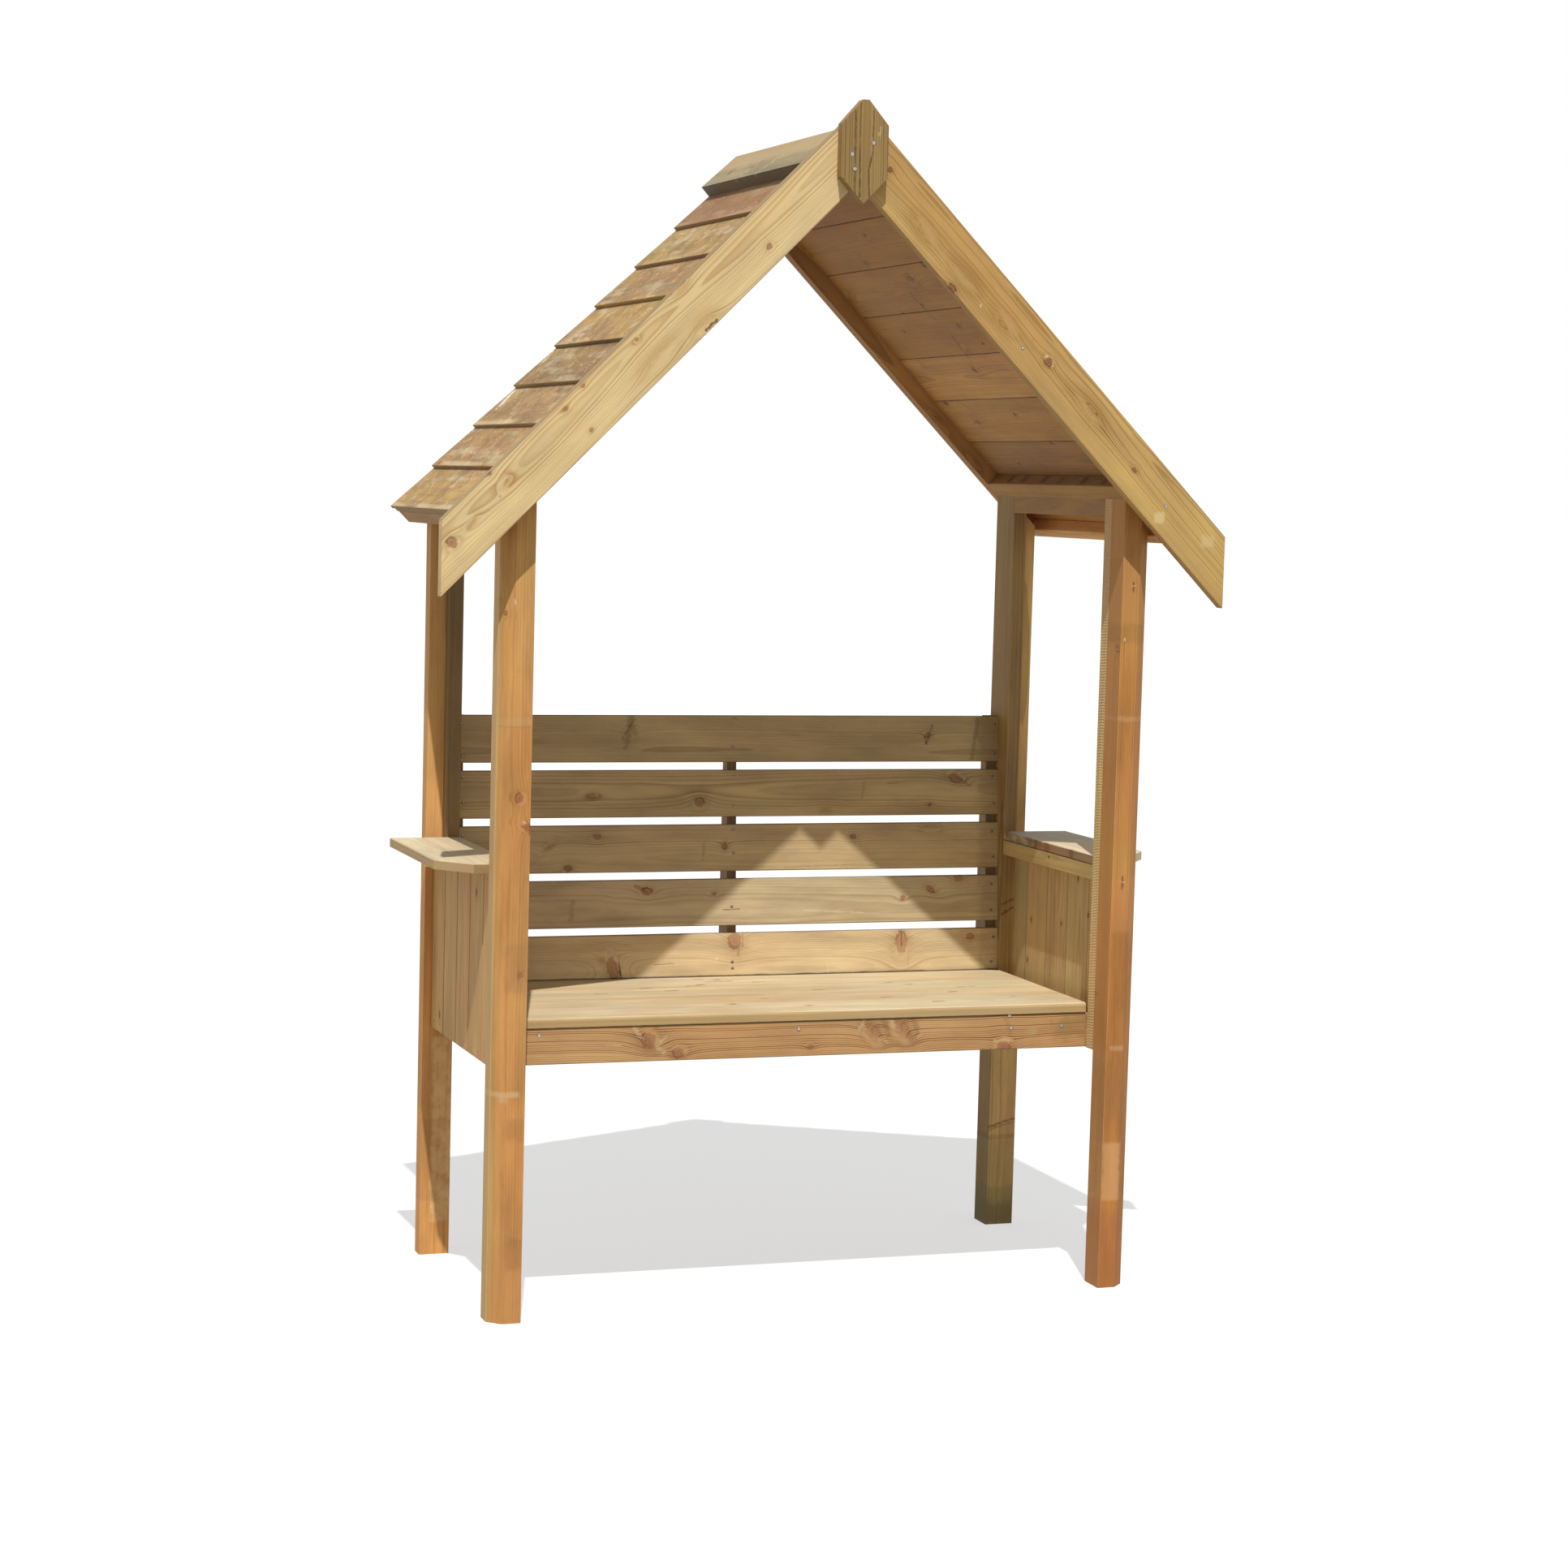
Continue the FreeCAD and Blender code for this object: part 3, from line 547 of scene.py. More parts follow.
for side, sign, down in SIDES:
    is_left = side == "left"
    seed = 100 if is_left else 200
    over = down.cross(Y)
    # The front stiles' pale casts and the right rear stile's are painted light on pieces that stand in shade
    finish(side + "_front_stile", Z, "olive", seed + 1, sawn=1.0,
           cast=(1.65, 1.65, 1.75) if is_left else (1.95, 1.92, 2.1))
    finish(side + "_rear_stile", Z, "umber", seed + 2, small_knots=0.1, mottle=1.4,
           cast=(0.82, 0.90, 0.84) if is_left else (1.3, 1.42, 1.3),
           scars=() if is_left else placed(in_front(REAR_STILE_FRONT), [
               ((522, 603), (558, 622), 5, "7C3A2C", 0.75), ((530, 626), (558, 638), 4, "6A4228", 0.6),
               ((528, 590), (548, 596), 4, "A0805A", 0.4)]))
    finish(side + "_top_rail", Y, "lining", seed + 3, small_knots=0.1, cast=(0.88, 0.94, 0.80), mottle=1.3)
    finish(side + "_arm_rail", Y, "olive", seed + 4, cast=(1.45, 1.5, 1.45))
    finish(side + "_bottom_rail", Y, "boarding", seed + 5)
    for i in range(1, 6):
        hue = 1 + 0.04 * (i % 2)
        if is_left:
            own = {"cast": (1.16 * hue, 1.11, 0.90 - 0.03 * (i % 3))}
        else:
            own = {
                "cast": (1.03 * hue, 1.19, 1.30) if i < 5 else (0.84, 1.08, 1.25),
                "knots": [((555, y, z), 3, 1.3, 0.5, 0) for y, z in (
                    (39, 517), (-73, 712), (-6, 619), (144, 529), (-121, 650))],
                # The pale green band near the seat is painted light, bounced up from the seat
                "patches": [patch("C4B478", 0.45, 18, z=(497, 522 + 8 * (i % 2)))]}
        finish(f"{side}_side_board_{i}", Z, "boarding", seed + 10 + i, small_knots=0.35, seam=3.2, mottle=1.4, **own)
    if is_left:
        own = {
            "patches": [
                patch("B08A52", 0.55, 1, x=(None, -531), z=(None, 765)), patch("BE9A62", 0.45, 1, z=(None, 764))]}
    else:
        own = {
            "knots": [((530, 20, 758), 4, 2.5, 0.3, 0), ((530, -90, 757), 3, 2.5, 0.3, 0)],
            "patches": [
                # Painted shade: the inner edge darkened, most towards the back, a grey-blue patch on the back of the
                # top, and a dark line under the inner edge
                patch("5A4024", 0.8, 20, x=(None, 532), y=(40, None)),
                patch("85582C", 0.65, 1, x=(None, 532), y=(None, 70), z=(None, 765)),
                patch("8E949A", 0.35, 3, x=(531, None), y=(70, None), z=(765, None)),
                patch("2E2014", 0.8, 1, x=(None, 532), z=(None, 751.5))]}
    finish(side + "_shelf", Y, "shelf", seed + 20, cast=(0.84, 0.84, 0.87), **own)
    finish(side + "_purlin", Y, "lining", seed + 21, across=down, cast=(0.94, 0.96, 0.74), mottle=1.5, pith=(0.0, 0.03),
           ring=4.5, knots=[(slope(sign, 747, y, -12), 5, 1.6, dark, 0) for y, dark in PURLIN_KNOTS],
           # The dark patch over the purlin's upper face is painted shade
           patches=[patch("4A3420", 0.45, 3, z=(1424, None))])
    # The right batten's pale cast is painted light on a piece that stands in shade
    finish(side + "_eaves_batten", Y, "lining", seed + 22, across=down,
           cast=(0.85, 0.84, 0.63) if is_left else (1.9, 2.1, 2.0))
    finish(side + "_front_rafter", down, "lining", seed + 23, across=over, cast=(0.95, 0.90, 0.76))
    # The rear rafters' pale cast is painted light on pieces that stand in shade
    finish(side + "_rear_rafter", down, "umber", seed + 24, across=over, cast=(1.8, 1.64, 1.3),
           knots=[(slope(sign, 590, 301, -20), 4, 2.4, 0.05, 0), (slope(sign, 700, 301, -20), 4, 2.4, 0.05, 0)])
    if is_left:
        streaks = [((run - 12, y - 2), (run + 14, y + 13), 3.2, "D8B482", 0.6) for run, y in ROOF_STREAKS]
        streaks += [
            ((585, 322), (622, 300), 17, "E6E2D6", 0.85), ((478, 335), (505, 318), 12, "DAD4C2", 0.7),
            ((90, 256), (93, 256), 3.5, "C8C0B4", 0.8), ((70, 65), (73, 65), 3.5, "C8C0B4", 0.8)]
        finish("left_roof_boards", Y, "roof", seed + 25, across=down, courses=True, small_knots=0.3, weather=1.1,
               mottle=2.1, cast=(0.93, 0.94, 0.80), scars=placed(on_slope(sign, 14), streaks),
               patches=[patch("8E6040", 0.55, 5, z=(1872, None))])
    else:
        knots = [((run, y + 7), radius, 1.3, dark, 0) for run, y, radius, dark in LINING_KNOTS]
        stains = [((run, y + 7), (run + more, y + 7 + out), width, code, 0.36)
                  for run, y, more, out, width, code in LINING_STAINS]
        finish("right_roof_boards", Y, "lining", seed + 25, across=down, courses=True, small_knots=0.3, mottle=1.5,
               weather=0.9, dull=0.5, cast=(1.10, 1.07, 0.78), knots=placed(on_slope(sign, 0), knots),
               scars=placed(on_slope(sign, 0), stains))
    # The ridge caps' darkened lower edges are painted shade
    finish(side + "_ridge_cap", Y, "weathered", seed + 26, across=down, mottle=1.5, drip=0.6, cast=(0.88, 0.79, 0.66),
           knots=placed(on_slope(sign, 30), [((28, 115), 4, 1.0, 0.7, 0), ((14, -5), 4, 1.0, 0.8, 0)]),
           scars=placed(on_slope(sign, 30), [
               ((66, 150), (36, 116), 7, "D2C8A6", 0.6), ((36, 116), (12, 112), 5, "CDC29E", 0.5),
               ((64, 40), (10, -14), 7, "D2C8A6", 0.55)]),
           patches=[
               patch("BA9C70", 0.55, 14, x=(-34, 34)), patch("6E705A", 0.35, 16, x=(-200, -62)),
               patch("6E705A", 0.35, 16, x=(62, 200))])

finish("left_bargeboard", DOWN_LEFT, "pale", 31, across=DOWN_LEFT.cross(Y), small_knots=0.03, cast=(0.98, 0.97, 0.86),
       mottle=0.8, seam=1.6,
       knots=placed(in_front(BARGE_FRONT), [
           ((-683, 1303), 8.5, 1.0, 0.5, 0), ((-653, 1335), 4, 2.6, 0.1, 0), ((-498, 1522), 3, 1.2, 0.35, 0),
           ((-455, 1491), 3, 1.2, 0.3, 0), ((-623, 1416), 4, 1.0, 0.45, 0), ((-380, 1639), 3, 1.2, 0.35, 0),
           ((-469, 1561), 2.2, 1.3, 0.35, 0), ((-155, 1801), 4.5, 1.1, 0.5, 0), ((-262, 1672), 9, 1.8, 0.0, 0),
           ((-309, 1729), 7, 1.5, 0.0, 0), ((-596, 1404), 6, 1.4, 0.0, 0), ((-345, 1610), 9, 2.6, 0.0, 0)]),
       scars=placed(in_front(BARGE_FRONT), [
           ((-262, 1660), (-244, 1678), 5, "5A3820", 0.8), ((-605, 1379), (-605, 1380), 3, "8E9890", 0.7),
           ((-301, 1741), (-299, 1742), 4, "EBDDBC", 0.6)]))
finish("right_bargeboard", DOWN_RIGHT, "honey", 32, across=DOWN_RIGHT.cross(Y), small_knots=0.03,
       cast=(0.94, 0.92, 0.84), mottle=1.2, pith=(0.030, 0.024), ring=3.2,
       knots=placed(in_front(BARGE_FRONT), [
           ((53, 1939), 4.5, 1.0, 0.8, 0), ((170, 1747), 6, 1.2, 0.8, 0), ((353, 1631), 6.5, 1.1, 0.6, 0),
           ((521, 1453), 3.5, 1.2, 0.6, 0), ((195, 1769), 8, 2.6, 0.0, 0), ((268, 1695), 8, 2.4, 0.0, 0),
           ((436, 1553), 9, 2.6, 0.0, 0), ((115, 1842), 8, 2.6, 0.0, 0)]),
       scars=placed(in_front(BARGE_FRONT), [
           ((224, 1719), (224, 1721), 3, "E6D6B0", 0.6), ((346, 1640), (350, 1641), 4, "E9DCC0", 0.45),
           ((360, 1624), (361, 1630), 3, "EFE6D2", 0.6)]),
       patches=[
           patch("E2CC98", 0.6, 6, x=(563, 582), z=(1362, 1380)),
           patch("DFC48E", 0.5, 8, x=(654, 676), z=(1322, 1342))])
finish("finial", Z, "finial", 33, ring=3.4, small_knots=0.0, pith=(0.003, 0.007), cast=(0.92, 0.86, 0.84), stray=0.002,
       mottle=0.8,
       scars=placed(in_front(FINIAL_FRONT), [
           ((-18, 2030), (-16, 1893), 2.6, "4E3C20", 0.75), ((-9, 2042), (-9, 1970), 2.4, "5A4222", 0.7),
           ((-9, 1970), (-7, 1888), 3, "4E3818", 0.75), ((14, 2030), (14, 1965), 2.4, "5A4424", 0.7),
           ((14, 1965), (7, 1930), 2.6, "54381E", 0.75), ((7, 1930), (10, 1890), 3, "54381E", 0.7),
           ((27, 2005), (26, 1985), 1.6, "D2BE8C", 0.6), ((23, 1996), (23, 1990), 1.6, "D2BE8C", 0.5)]))

# The back: each slat's knots and marks are given as x and z on its front

SLAT_END = patch("6E5838", 0.28, 26, x=(492, None))
SLATS = {
    1: {"cast": (0.95, 0.93, 0.90),
        "knots": [
            ((-237, 524), 16, 0.5, 0.25, 8), ((-232, 509), 11, 0.65, 0.3, 0), ((-254, 537), 6, 0.7, 0.1, 0),
            ((1, 567), 15, 0.75, 0.25, 0), ((333, 554), 20, 0.5, 0.2, 0), ((473, 565), 6, 1.2, 0.3, 0)],
        "scars": [
            ((-219, 503), (-224, 528), 4, "3E2418", 0.75), ((-214, 503), (-217, 515), 3, "E0CFA0", 0.6),
            ((9, 550), (7, 537), 4, "8A5638", 0.35), ((16, 577), (17, 554), 3, "7A4A30", 0.35),
            ((333, 574), (333, 550), 2.5, "7A3E30", 0.6), ((347, 572), (347, 513), 4, "C8985E", 0.3),
            ((-155, 524), (-117, 526), 1.6, "8A6A48", 0.6), ((-35, 532), (-33, 533), 3, "F0E4C4", 0.6),
            ((184, 522), (186, 503), 3, "E8D0A0", 0.4)],
        # The dark band along the first slat's foot is painted shade
        "patches": [SLAT_END, patch("2E2014", 0.75, 2, z=(None, 502))]},
    2: {"cast": (0.76, 0.76, 0.76),
        "knots": [
            ((-170, 658), 7, 1.3, 0.8, 0), ((-39, 652), 3, 1.3, 0.6, 0), ((335, 640), 4, 1.0, 0.5, 0),
            ((392, 656), 5, 1.8, 0.5, -30), ((448, 674), 6, 1.3, 0.4, 0)],
        "scars": [
            ((-192, 669), (-174, 661), 6, "5E4630", 0.45), ((-315, 611), (-310, 641), 9, "8A6E38", 0.4),
            ((-23, 623), (9, 624), 1.8, "5E4428", 0.6), ((137, 619), (256, 613), 3, "EED8AC", 0.35)],
        "patches": [SLAT_END]},
    3: {"cast": (0.95, 0.96, 0.92),
        "knots": [
            ((-19, 742), 6, 0.7, 0.5, 0), ((236, 757), 4, 1.3, 0.5, 0), ((-266, 759), 5, 1.4, 0.3, 0),
            ((-355, 745), 4, 2.2, 0.08, 40), ((392, 771), 6, 2.0, 0.0, 0)],
        "scars": [((-61, 716), (-59, 748), 4, "6A543A", 0.3), ((99, 700), (239, 704), 2, "7A6040", 0.3)],
        "patches": [SLAT_END]},
    4: {"cast": (0.90, 0.90, 0.80),
        "knots": [
            ((-68, 821), 8, 1.1, 0.5, 0), ((390, 813), 3, 1.2, 0.8, 0), ((442, 866), 7, 1.8, 0.5, -25),
            ((-274, 836), 4, 1.6, 0.2, 0)],
        "scars": [
            ((252, 829), (257, 859), 5, "6A543A", 0.25), ((444, 867), (473, 849), 3, "5A4630", 0.4),
            ((303, 855), (333, 857), 2, "5A4630", 0.4)],
        "patches": [SLAT_END]},
    5: {"cast": (0.88, 0.88, 0.80),
        "knots": [((385, 947), 5, 1.2, 0.3, 0), ((-200, 954), 9, 0.6, 0.1, 0)],
        "scars": [
            ((-210, 924), (-201, 981), 10, "6A4A2C", 0.4), ((-218, 939), (-195, 974), 3, "543A22", 0.45),
            ((381, 929), (394, 964), 5, "5A4430", 0.5), ((378, 945), (383, 929), 3, "3E2C1C", 0.6),
            ((476, 904), (488, 974), 9, "4A3822", 0.35), ((-146, 911), (-142, 911), 3, "B8A88A", 0.5)],
        "patches": [patch("5E4A2C", 0.4, 24, x=(486, None))]},
}
for i, own in SLATS.items():
    finish(f"back_slat_{i}", X, "slat_low" if i < 3 else "slat", 40 + i, small_knots=0.06, mottle=1.5,
           across=UP_BACK, cast=own["cast"], seam=3.4, stray=0.004, green=0.5, knots=placed(on_back, own["knots"]),
           scars=placed(on_back, own["scars"]), patches=own["patches"])
for i, name in enumerate(("left", "centre", "right")):
    finish("back_batten_" + name, Z, "umber", 50 + i, cast=(1.2, 1.3, 1.35))

# The seat: dark strokes in the boards' tops, then the rail below them

SEAT_CASTS = ((0.92, 0.97, 1.05), (0.86, 0.86, 0.86), (0.90, 0.95, 1.0), (0.9, 0.93, 0.97))
SEAT_FLAWS = [
    # x, y, how long and how wide
    (-89, 197, 20, 3), (-127, 125, 30, 4), (-102, 134, 14, 5), (-181, 76, 24, 4), (-75, 165, 50, 4), (281, 77, 16, 5),
    (368, 33, 34, 4), (258, -120, 22, 5), (251, 102, 16, 3), (-216, 110, 20, 4), (-320, 60, 26, 3), (10, 150, 24, 3),
    (90, 40, 20, 4), (180, -60, 26, 4), (330, -20, 16, 5), (-40, -40, 18, 3), (420, -90, 14, 4), (-380, 150, 24, 3)]
SEAT_FRONT, SEAT_PITCH = -180, 101
for i, cast in enumerate(SEAT_CASTS):
    finish(f"seat_board_{i + 1}", X, "seat", 61 + i, small_knots=0.12, cast=cast,
           scars=[((x, y, SEAT_TOP), (x + long, y + 3, SEAT_TOP), wide * 0.9, "5A3A22", 0.85)
                  for x, y, long, wide in SEAT_FLAWS if i <= (y - SEAT_FRONT) / SEAT_PITCH < i + 1],
           patches=() if i else [
               # The second patch, dark under the front seat board, is painted shade
               patch("B48E50", 0.65, 1, y=(None, -177), z=(None, 498)), patch("3A2818", 0.8, 1, z=(None, 483.5))])
finish("front_seat_rail", X, "rail", 65, small_knots=0.0, pith=(-0.075, 0.01), ring=3.2, mottle=1.2,
       knots=placed(in_front(RAIL_FRONT), [
           ((-288, 457), 12, 1.1, 0.2, -20), ((-235, 434), 8, 1.2, 0.25, 0), ((371, 424), 11, 1.0, 0.35, 0),
           ((123, 456), 10, 1.7, 0.12, -55), ((176, 462), 11, 1.7, 0.12, -55), ((6, 438), 4, 1.3, 0.2, 0)]),
       scars=placed(in_front(RAIL_FRONT), [
           ((-316, 482), (-303, 462), 7, "EBD2AC", 0.31), ((-272, 444), (-262, 436), 7, "E4C8A0", 0.28),
           ((-268, 452), (-258, 462), 5, "E4C8A0", 0.28), ((-276, 478), (-268, 464), 9, "8A5E38", 0.34),
           ((106, 482), (98, 464), 7, "E6CAA2", 0.31), ((142, 482), (152, 452), 10, "7A4E2E", 0.38),
           ((158, 476), (160, 466), 6, "E6CAA2", 0.28), ((198, 480), (208, 452), 9, "7A4E2E", 0.38),
           ((134, 446), (150, 440), 6, "E0C49C", 0.28), ((208, 448), (214, 452), 5, "E0C49C", 0.31),
           ((356, 436), (386, 437), 6, "E6CCA2", 0.28), ((372, 482), (384, 452), 9, "8A5E38", 0.26),
           ((-362, 450), (-340, 450), 3, "DDBE90", 0.4)]),
       patches=[
           patch("BDB878", 0.35, 12, x=(420, 434), z=(444, 456)), patch("7E6A3C", 0.4, 26, x=(470, None), z=(436, 480)),
           # The last patch, a dark line along the rail's top under the seat, is painted shade
           patch("3A2414", 0.4, 1, z=(480.5, None))])
finish("rear_seat_rail", X, "rail", 66)
for i, name in enumerate(("left", "centre", "right")):
    finish("seat_bearer_" + name, Y, "boarding", 70 + i)


# Screws and nails

# How far a screw head stands out, in metres, and the share of its radius that is flat
HEAD_TOP, FLAT = 0.00022, 0.95


def metal(name, bright, rust):
    """Zinc plate with rust and grime in its hollows."""
    f = Finish(name)
    place = f.node("TexCoord", None, None, "Object")
    spots = f.noise(f.tint(place, 420.0), 3.0, 0.6)
    worn = f.smooth(spots, 0.62 - rust * 0.3, 0.72)
    colour = f.mix(worn, paint(bright), paint("6A4630"))
    return f.surface(colour, 0.36 + worn * 0.4, spots, 0.00015, Metallic=0.8)


def crushed_wood_and_shade():
    """The dark ring round a head: wood that the head has pressed down, with painted shade."""
    f = Finish("crushed_wood_and_shade")
    place = f.node("TexCoord", None, None, "Object")
    fuzz = f.noise(f.tint(place, 700.0), 2.0)
    return f.surface(f.mix(fuzz, paint("3C2C1C"), paint("6A5030")), 0.85, fuzz, 0.0002)


ZINC, NAIL, DENT_AND_SHADE = metal("zinc_screw", "C4C6CA", 0.1), metal("nail_steel", "8E877B", 0.4), crushed_wood_and_shade()


def ring_of(mesh, radius, height, count, shift=0.0):
    """A circle of corners round the middle, or shifted from it."""
    angles = [2 * math.pi * i / count for i in range(count)]
    return [mesh.verts.new((radius * math.cos(a), radius * math.sin(a) + shift, height)) for a in angles]


def lathe(mesh, profile, count, closed=True, material=0, shift=0.0):
    """Joins rings of the profile's radii and heights, and closes the last one."""
    rings = [ring_of(mesh, radius, height, count, shift) for radius, height in profile]
    for lower, upper in zip(rings, rings[1:]):
        for i in range(count):
            face = mesh.faces.new((lower[i], lower[i - 1], upper[i - 1], upper[i]))
            face.smooth = True
            face.material_index = material
    if closed:
        mesh.faces.new(list(rings[-1])).material_index = material


def dent_and_shade_ring(mesh, radius):
    """Pressed wood and painted shade, wider below the head than above it, where the shade falls."""
    profile = [(radius * 1.4, 0.00004), (radius * 1.02, 0.00008)]
    lathe(mesh, profile, 18, closed=False, material=1, shift=-radius * 0.15)


def nail_head(mesh, radius):
    """A flat round head with a worn edge."""
    dent_and_shade_ring(mesh, radius)
    lathe(mesh, [(radius, -0.0004), (radius, 0.0002), (radius * 0.9, 0.00045), (radius * 0.5, 0.00055)], 16)


def screw_head(mesh, radius):
    """A countersunk head with a cross recess."""
    dent_and_shade_ring(mesh, radius)
    lathe(mesh, [(radius, -0.0003), (radius, 0.00014), (radius * FLAT, HEAD_TOP)], 24, closed=False)
    arm, reach = radius * 0.13, radius * 0.5
    corners = [(arm, arm), (arm, reach), (-arm, reach), (-arm, arm), (-reach, arm), (-reach, -arm),
               (-arm, -arm), (-arm, -reach), (arm, -reach), (arm, -arm), (reach, -arm), (reach, arm)]
    outer = ring_of(mesh, radius * FLAT, HEAD_TOP, 24)
    inner = [mesh.verts.new((x, y, HEAD_TOP)) for x, y in corners]
    bottom = [mesh.verts.new((x * 0.6, y * 0.6, HEAD_TOP - radius * 0.35)) for x, y in corners]
    edges = [mesh.edges.new((loop[i - 1], loop[i])) for loop in (outer, inner) for i in range(len(loop))]
    bmesh.ops.triangle_fill(mesh, edges=edges, use_beauty=True, use_dissolve=False)
    for i in range(len(corners)):
        mesh.faces.new((inner[i], inner[i - 1], bottom[i - 1], bottom[i]))
    mesh.faces.new(bottom)


def fasteners(name, kind, facing, places, radius, finish_with, into=None):
    """One set of heads, all facing the same way. Places are in mm, and lie on the surface of into if it is given."""
    chance = random.Random(name)
    whole = bmesh.new()
    for place in places:
        spot, face_way = Vector(place) * MM, Vector(facing).normalized()
        if into:
            hit, found, way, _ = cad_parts[into].ray_cast(spot + face_way * 0.2, -face_way)
            if not hit:
                raise ValueError("no wood under a nail of " + name)
            spot, face_way = found, way
        one = bmesh.new()
        kind(one, radius)
        side_way = Z if abs(face_way.z) < 0.9 else Y
        up = (side_way - face_way * side_way.dot(face_way)).normalized()
        turn = Matrix((up.cross(face_way), up, face_way)).transposed().to_4x4()
        tilt = Matrix.Rotation(chance.uniform(-0.05, 0.05), 4, "X") @ Matrix.Rotation(chance.uniform(-0.6, 0.6), 4, "Z")
        one.transform(Matrix.Translation(spot) @ turn @ tilt)
        part = bpy.data.meshes.new("part")
        one.to_mesh(part)
        whole.from_mesh(part)
        bpy.data.meshes.remove(part)
        one.free()
    bmesh.ops.remove_doubles(whole, verts=whole.verts, dist=1e-7)
    bmesh.ops.recalc_face_normals(whole, faces=whole.faces)
    mesh = bpy.data.meshes.new(name)
    whole.to_mesh(mesh)
    whole.free()
    mesh.materials.append(finish_with)
    mesh.materials.append(DENT_AND_SHADE)
    piece = bpy.data.objects.new(name, mesh)
    bpy.context.scene.collection.objects.link(piece)
    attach(piece, "root")


FRONT = (0, -1, 0)
finial_screws = [(15, 1978), (-22, 1958), (-17, 1933.5)]
bargeboard_screws = [(304, 1653), (584, 1391)]
rail_screws = [(-483, 471), (-16, 468), (382, 480), (386, 458), (484, 459)]
fasteners("screws_finial", screw_head, FRONT, [(x, FINIAL_FRONT, z) for x, z in finial_screws], 0.0029, ZINC)
fasteners("screws_bargeboards", screw_head, FRONT, [(x, BARGE_FRONT, z) for x, z in bargeboard_screws], 0.0024,
          ZINC)
fasteners("screws_seat_rail", screw_head, FRONT, [(x, RAIL_FRONT, z) for x, z in rail_screws], 0.0026,
          ZINC)

# Each row of nails in the slats is a little out of line
SLAT_NAILS = {
    -519: (967, 909, 870, 825, 765, 712, 667, 610, 564, 511),
    -2: (974, 926, 870, 817, 772, 729, 629, 526, 514),
    519: (966, 912, 868, 816, 764, 716, 664, 614, 562, 516),
}
chance = random.Random(5)
slat_nails = [on_back(x + chance.uniform(-3, 3), z) for x, heights in SLAT_NAILS.items() for z in heights]
fasteners("nails_slats", nail_head, X.cross(UP_BACK), slat_nails, 0.0021, NAIL)

# Two rows in each roof board, near its lower edge and under the next board's, and four in each side board
ROOF_NAIL_Y, ROOF_NAIL_UP = (-283, 315), (22, 62)
SIDE_BOARDS_FROM, SIDE_BOARD = -213.8, 91.9
SIDE_FACE, SIDE_NAIL_Z, SIDE_NAIL_SHARE = 570, (434, 736), (0.28, 0.72)
for side, sign, _ in SIDES:
    edges = [(FIRST_EDGE + COURSE * i) / MM for i in range(8)]
    roof_nails = [slope(sign, edge - up, y) for edge in edges for up in ROOF_NAIL_UP for y in ROOF_NAIL_Y]
    fasteners(f"nails_{side}_roof", nail_head, (sign, 0, 1), roof_nails, 0.0019, NAIL,
              into=side + "_roof_boards")
    board_nails = [(sign * SIDE_FACE, SIDE_BOARDS_FROM + SIDE_BOARD * (i + share), z)
                   for i in range(5) for share in SIDE_NAIL_SHARE for z in SIDE_NAIL_Z]
    fasteners(f"nails_{side}_boards", nail_head, (sign, 0, 0), board_nails, 0.0015, NAIL)


# Stage: floor, sky, sun and camera

WHITE = (1, 1, 1, 1)
SHADED_FLOOR, SEEN_FLOOR = (0.35, 0.34, 0.32, 1), (0.88, 0.88, 0.88, 1)
FLOOR_GLOW, SKY_LIGHT, SUN_LIGHT = 0.6, 0.38, 3.4
FLOOR_HALF = 60

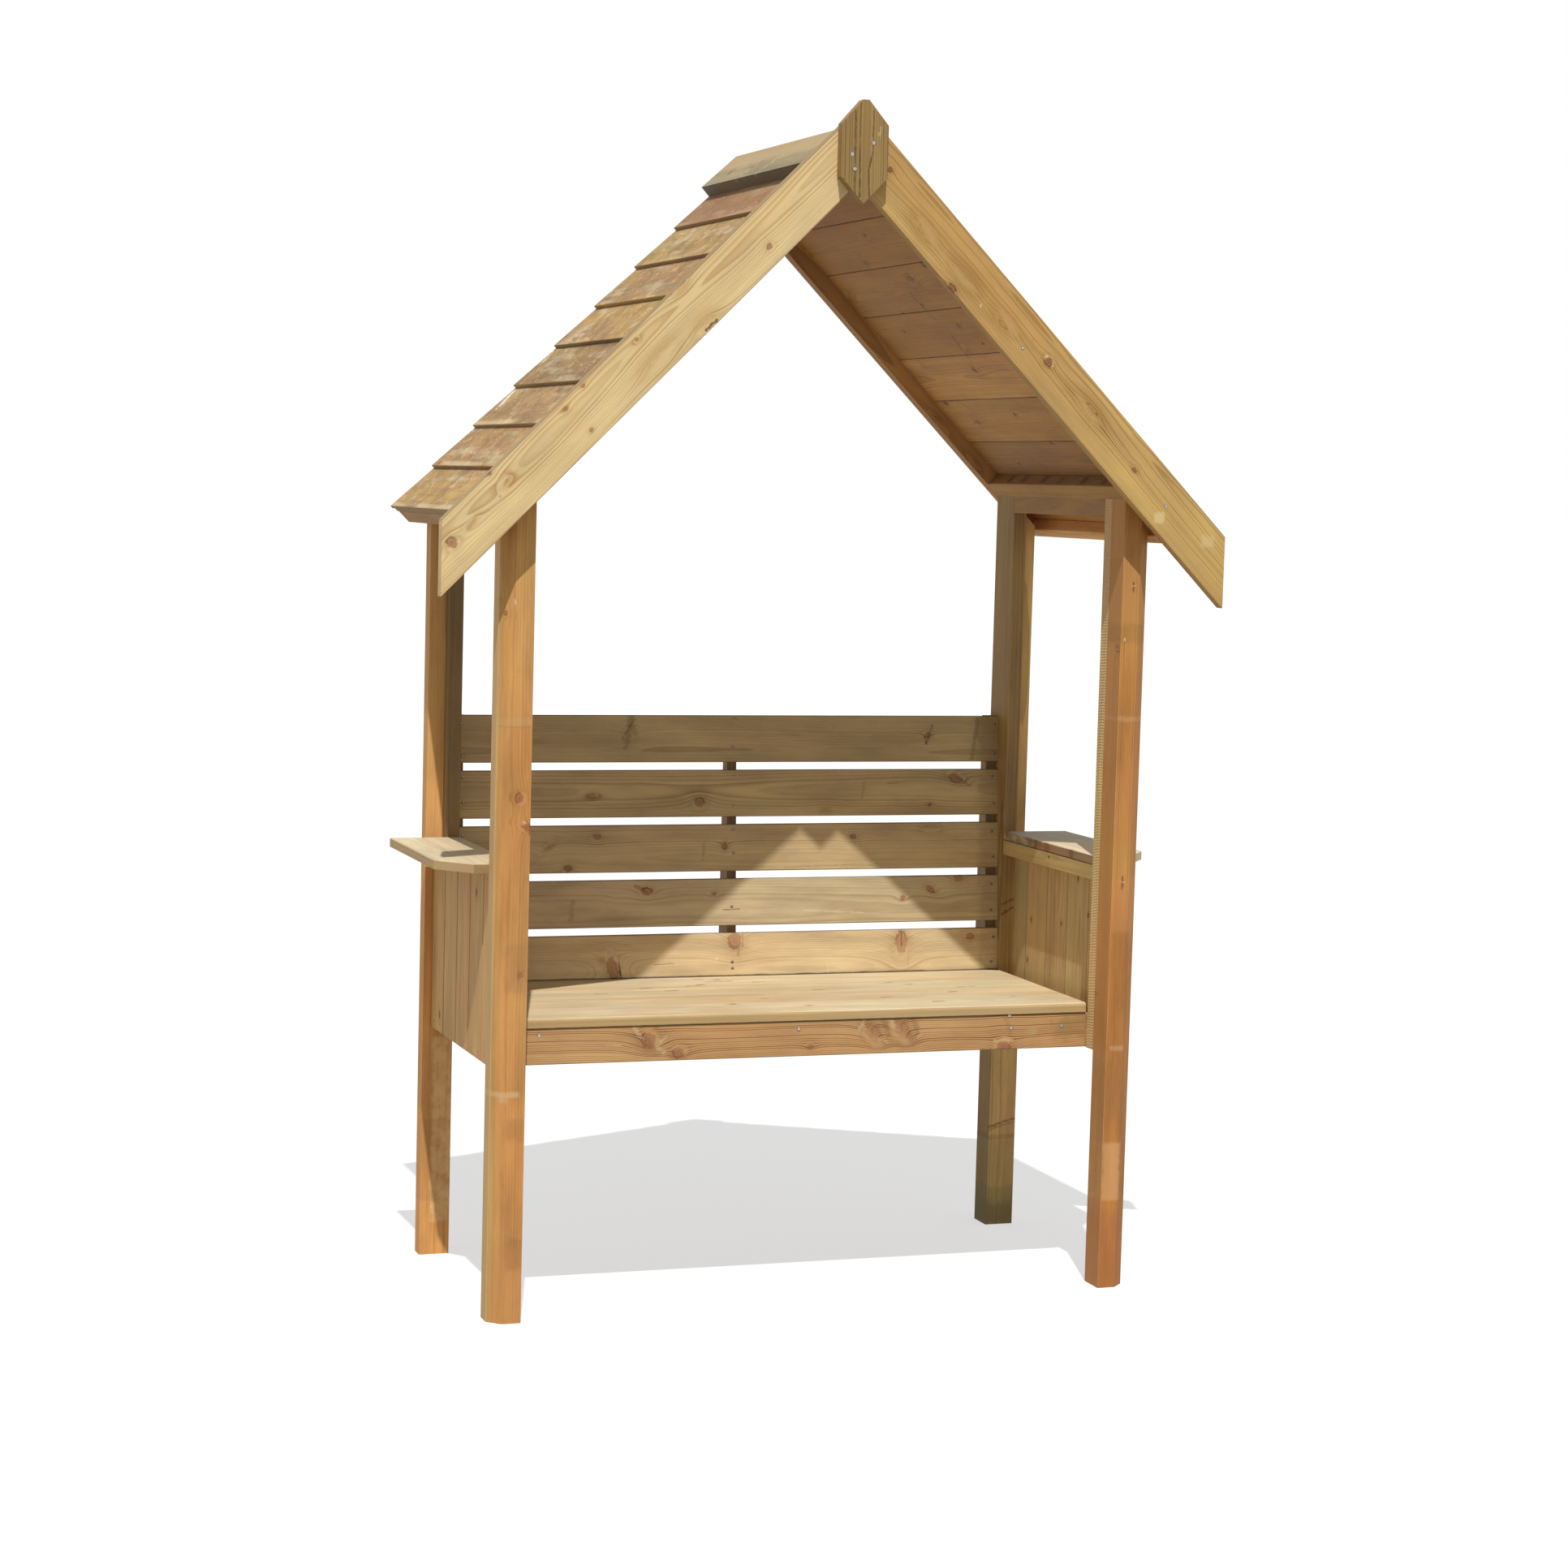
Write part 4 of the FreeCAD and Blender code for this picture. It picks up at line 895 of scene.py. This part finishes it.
# The floor looks white and throws back little light
paving = Finish("pale_floor")
camera_ray, glossy_ray = paving.node("LightPath", None, None, ("Is Camera Ray", "Is Glossy Ray"))
seen = paving.maths("MAXIMUM", camera_ray, glossy_ray)
plain = paving.node("BsdfDiffuse", None, {"Color": paving.mix(seen, SHADED_FLOOR, SEEN_FLOOR)})
bright = paving.node("Emission", None, {"Color": WHITE, "Strength": 1.0})
both = paving.node("MixShader", None, {0: seen * FLOOR_GLOW, 1: plain, 2: bright})
paving.node("OutputMaterial", None, {"Surface": both}, ())
floor_mesh = bpy.data.meshes.new("floor")
corners = [(x * FLOOR_HALF, y * FLOOR_HALF, 0) for x, y in ((-1, -1), (1, -1), (1, 1), (-1, 1))]
floor_mesh.from_pydata(corners, [], [(0, 1, 2, 3)])
floor_mesh.materials.append(paving.material)
floor = bpy.data.objects.new("floor", floor_mesh)
bpy.context.scene.collection.objects.link(floor)

# The sky looks white and lights softly
bpy.context.scene.world = bpy.data.worlds.new("sky")
sky = Finish("sky", bpy.context.scene.world)
camera_ray, glossy_ray, clear_ray = sky.node(
    "LightPath", None, None, ("Is Camera Ray", "Is Glossy Ray", "Is Transmission Ray"))
seen = sky.maths("MAXIMUM", sky.maths("MAXIMUM", camera_ray, glossy_ray), clear_ray)
glow = sky.node("Background", None, {"Color": WHITE, "Strength": SKY_LIGHT})
white = sky.node("Background", None, {"Color": WHITE, "Strength": 1.0})
sky.node("OutputWorld", None, {"Surface": sky.node("MixShader", None, {0: seen, 1: glow, 2: white})}, ())

# The sun stands high on the left, a little in front
sun_data = bpy.data.lights.new("sun", "SUN")
sun_data.energy = SUN_LIGHT
sun_data.angle = math.radians(0.5)
sun = bpy.data.objects.new("sun", sun_data)
sun.rotation_mode = "QUATERNION"
sun.rotation_quaternion = Vector((0.290, 1.0, -1.960)).to_track_quat("-Z", "Y")
bpy.context.scene.collection.objects.link(sun)

# The photograph's camera
lens = bpy.data.cameras.new("camera")
lens.lens = 75.55
lens.sensor_width = 36.0
camera = bpy.data.objects.new("camera", lens)
right, up, ahead = (0.94345, -0.33042, 0.0268), (0.0047, 0.09419, 0.99554), (0.33148, 0.93912, -0.09042)
turned = Matrix((right, up, [-a for a in ahead])).transposed()
camera.matrix_world = Matrix.Translation((-1.9369, -5.5082, 1.4099)) @ turned.to_4x4()
bpy.context.scene.collection.objects.link(camera)
bpy.context.scene.camera = camera
bpy.context.scene.view_settings.view_transform = "Standard"
